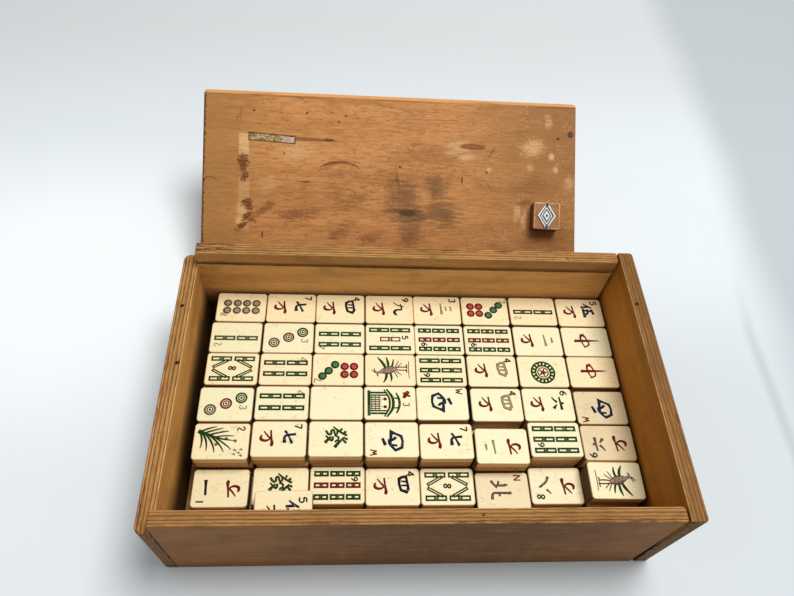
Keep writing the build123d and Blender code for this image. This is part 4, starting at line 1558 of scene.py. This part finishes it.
class MAHJONG_OT_tiles(bpy.types.Operator):
    """Finish the bone faces and bamboo backs of every tile"""

    bl_idname = "mahjong.tiles"
    bl_label = "Tiles"

    def execute(self, context):
        tiles = context.scene.mahjong_tiles
        bamboo = bamboo_finish(tiles)
        draw = random.Random(TINT_SEED)
        for group in (*DEAL, *HIDDEN):
            frames = tile_frames(f"{group}_faces")
            stops = tile_tints(frames, draw, WARMTH.get(group, USUAL_WARMTH), TANNED_AND_SHADED.get(group, {}))
            dress(f"{group}_faces", bone_finish(f"{group}_bone", tiles, stops, group in PACKED_TIGHT))
            dress(f"{group}_backs", bamboo)
        return {"FINISHED"}


class MAHJONG_OT_marks(bpy.types.Operator):
    """Paint the suits, winds, dragons, flowers and seasons on the tiles"""

    bl_idname = "mahjong.marks"
    bl_label = "Marks"

    def execute(self, context):
        marks = context.scene.mahjong_marks
        paints = {name: paint_finish(name, rgb) for name, rgb in PAINTS.items()}
        for group, row in DEAL.items():
            node = f"{group}_faces"
            frames, shift = tile_frames(node), SHIFTS.get(group, 0.0)
            paint_group(f"{group}_marks", body_of(node), frames, row.split(), marks, paints, shift)
        rest = shuffled_rest(marks.seed)
        for group in HIDDEN:
            node = f"{group}_faces"
            frames = tile_frames(node)
            codes, rest = rest[: len(frames)], rest[len(frames):]
            paint_group(f"{group}_marks", body_of(node), frames, codes, marks, paints)
        return {"FINISHED"}


class MAHJONG_OT_stage(bpy.types.Operator):
    """Lay the pale floor and set the lamp, the light all round and the camera"""

    bl_idname = "mahjong.stage"
    bl_label = "Stage"

    def execute(self, context):
        stage = context.scene.mahjong_stage
        clear_selection()
        bpy.ops.mesh.primitive_plane_add(size=FLOOR_SIZE, location=(0, 0, 0))
        floor = context.object
        floor.name = "floor"
        floor.data.materials.append(floor_paper(stage))

        world = bpy.data.worlds.new("studio")
        world.use_nodes = True
        sky = world.node_tree.nodes["Background"]
        sky.inputs["Color"].default_value = SKY_COLOUR
        sky.inputs["Strength"].default_value = stage.sky
        context.scene.world = world

        lamp = bpy.data.lights.new("key", "AREA")
        lamp.shape = "DISK"
        lamp.size = stage.key_size
        lamp.energy = stage.key_power
        key = bpy.data.objects.new("key", lamp)
        key.location = stage.key_place
        key.rotation_euler = (Vector(KEY_AIM) - key.location).to_track_quat("-Z", "Y").to_euler()
        context.collection.objects.link(key)

        lens = bpy.data.cameras.new("camera")
        lens.sensor_fit = "HORIZONTAL"
        lens.sensor_width = 36.0
        lens.lens = stage.lens
        lens.clip_start = 0.01
        camera = bpy.data.objects.new("camera", lens)
        camera.matrix_world = camera_place()
        context.collection.objects.link(camera)
        context.scene.camera = camera
        context.scene.view_settings.view_transform = "Standard"
        return {"FINISHED"}


def camera_place():
    down, right, roll = (math.radians(angle) for angle in (CAMERA_DOWN, CAMERA_RIGHT, CAMERA_ROLL))
    ahead = Vector((math.sin(right) * math.cos(down), math.cos(right) * math.cos(down), -math.sin(down)))
    side = ahead.cross(Vector((0, 0, 1))).normalized()
    up = side.cross(ahead)
    rolled_side = side * math.cos(roll) + up * math.sin(roll)
    rolled_up = up * math.cos(roll) - side * math.sin(roll)
    matrix = Matrix((rolled_side, rolled_up, -ahead)).transposed().to_4x4()
    matrix.translation = Vector(CAMERA_PLACE) * MM
    return matrix


class MAHJONG_PT_panel(bpy.types.Panel):
    """The steps, in order, with their settings"""

    bl_idname = "MAHJONG_PT_panel"
    bl_label = "Mahjong Case"
    bl_space_type = "VIEW_3D"
    bl_region_type = "UI"
    bl_category = "Mahjong Case"

    def draw(self, context):
        for operator, group in STEPS:
            self.layout.operator(operator.bl_idname)
            settings = getattr(context.scene, group)
            for name in settings.__annotations__:
                self.layout.prop(settings, name)


SETTINGS = {
    "mahjong_wood": WoodSettings,
    "mahjong_tiles": TileSettings,
    "mahjong_marks": MarkSettings,
    "mahjong_stage": StageSettings,
}
STEPS = (
    (MAHJONG_OT_stage, "mahjong_stage"),
    (MAHJONG_OT_case, "mahjong_wood"),
    (MAHJONG_OT_lid, "mahjong_wood"),
    (MAHJONG_OT_tiles, "mahjong_tiles"),
    (MAHJONG_OT_marks, "mahjong_marks"),
)


def register():
    for name, group in SETTINGS.items():
        bpy.utils.register_class(group)
        setattr(bpy.types.Scene, name, PointerProperty(type=group))
    for operator, _ in STEPS:
        bpy.utils.register_class(operator)
    bpy.utils.register_class(MAHJONG_PT_panel)


def unregister():
    bpy.utils.unregister_class(MAHJONG_PT_panel)
    for operator, _ in reversed(STEPS):
        bpy.utils.unregister_class(operator)
    for name, group in SETTINGS.items():
        delattr(bpy.types.Scene, name)
        bpy.utils.unregister_class(group)


def main():
    register()
    for step in (bpy.ops.mahjong.stage, bpy.ops.mahjong.case, bpy.ops.mahjong.lid, bpy.ops.mahjong.tiles,
                 bpy.ops.mahjong.marks):
        step()


if __name__ == "__main__":
    main()
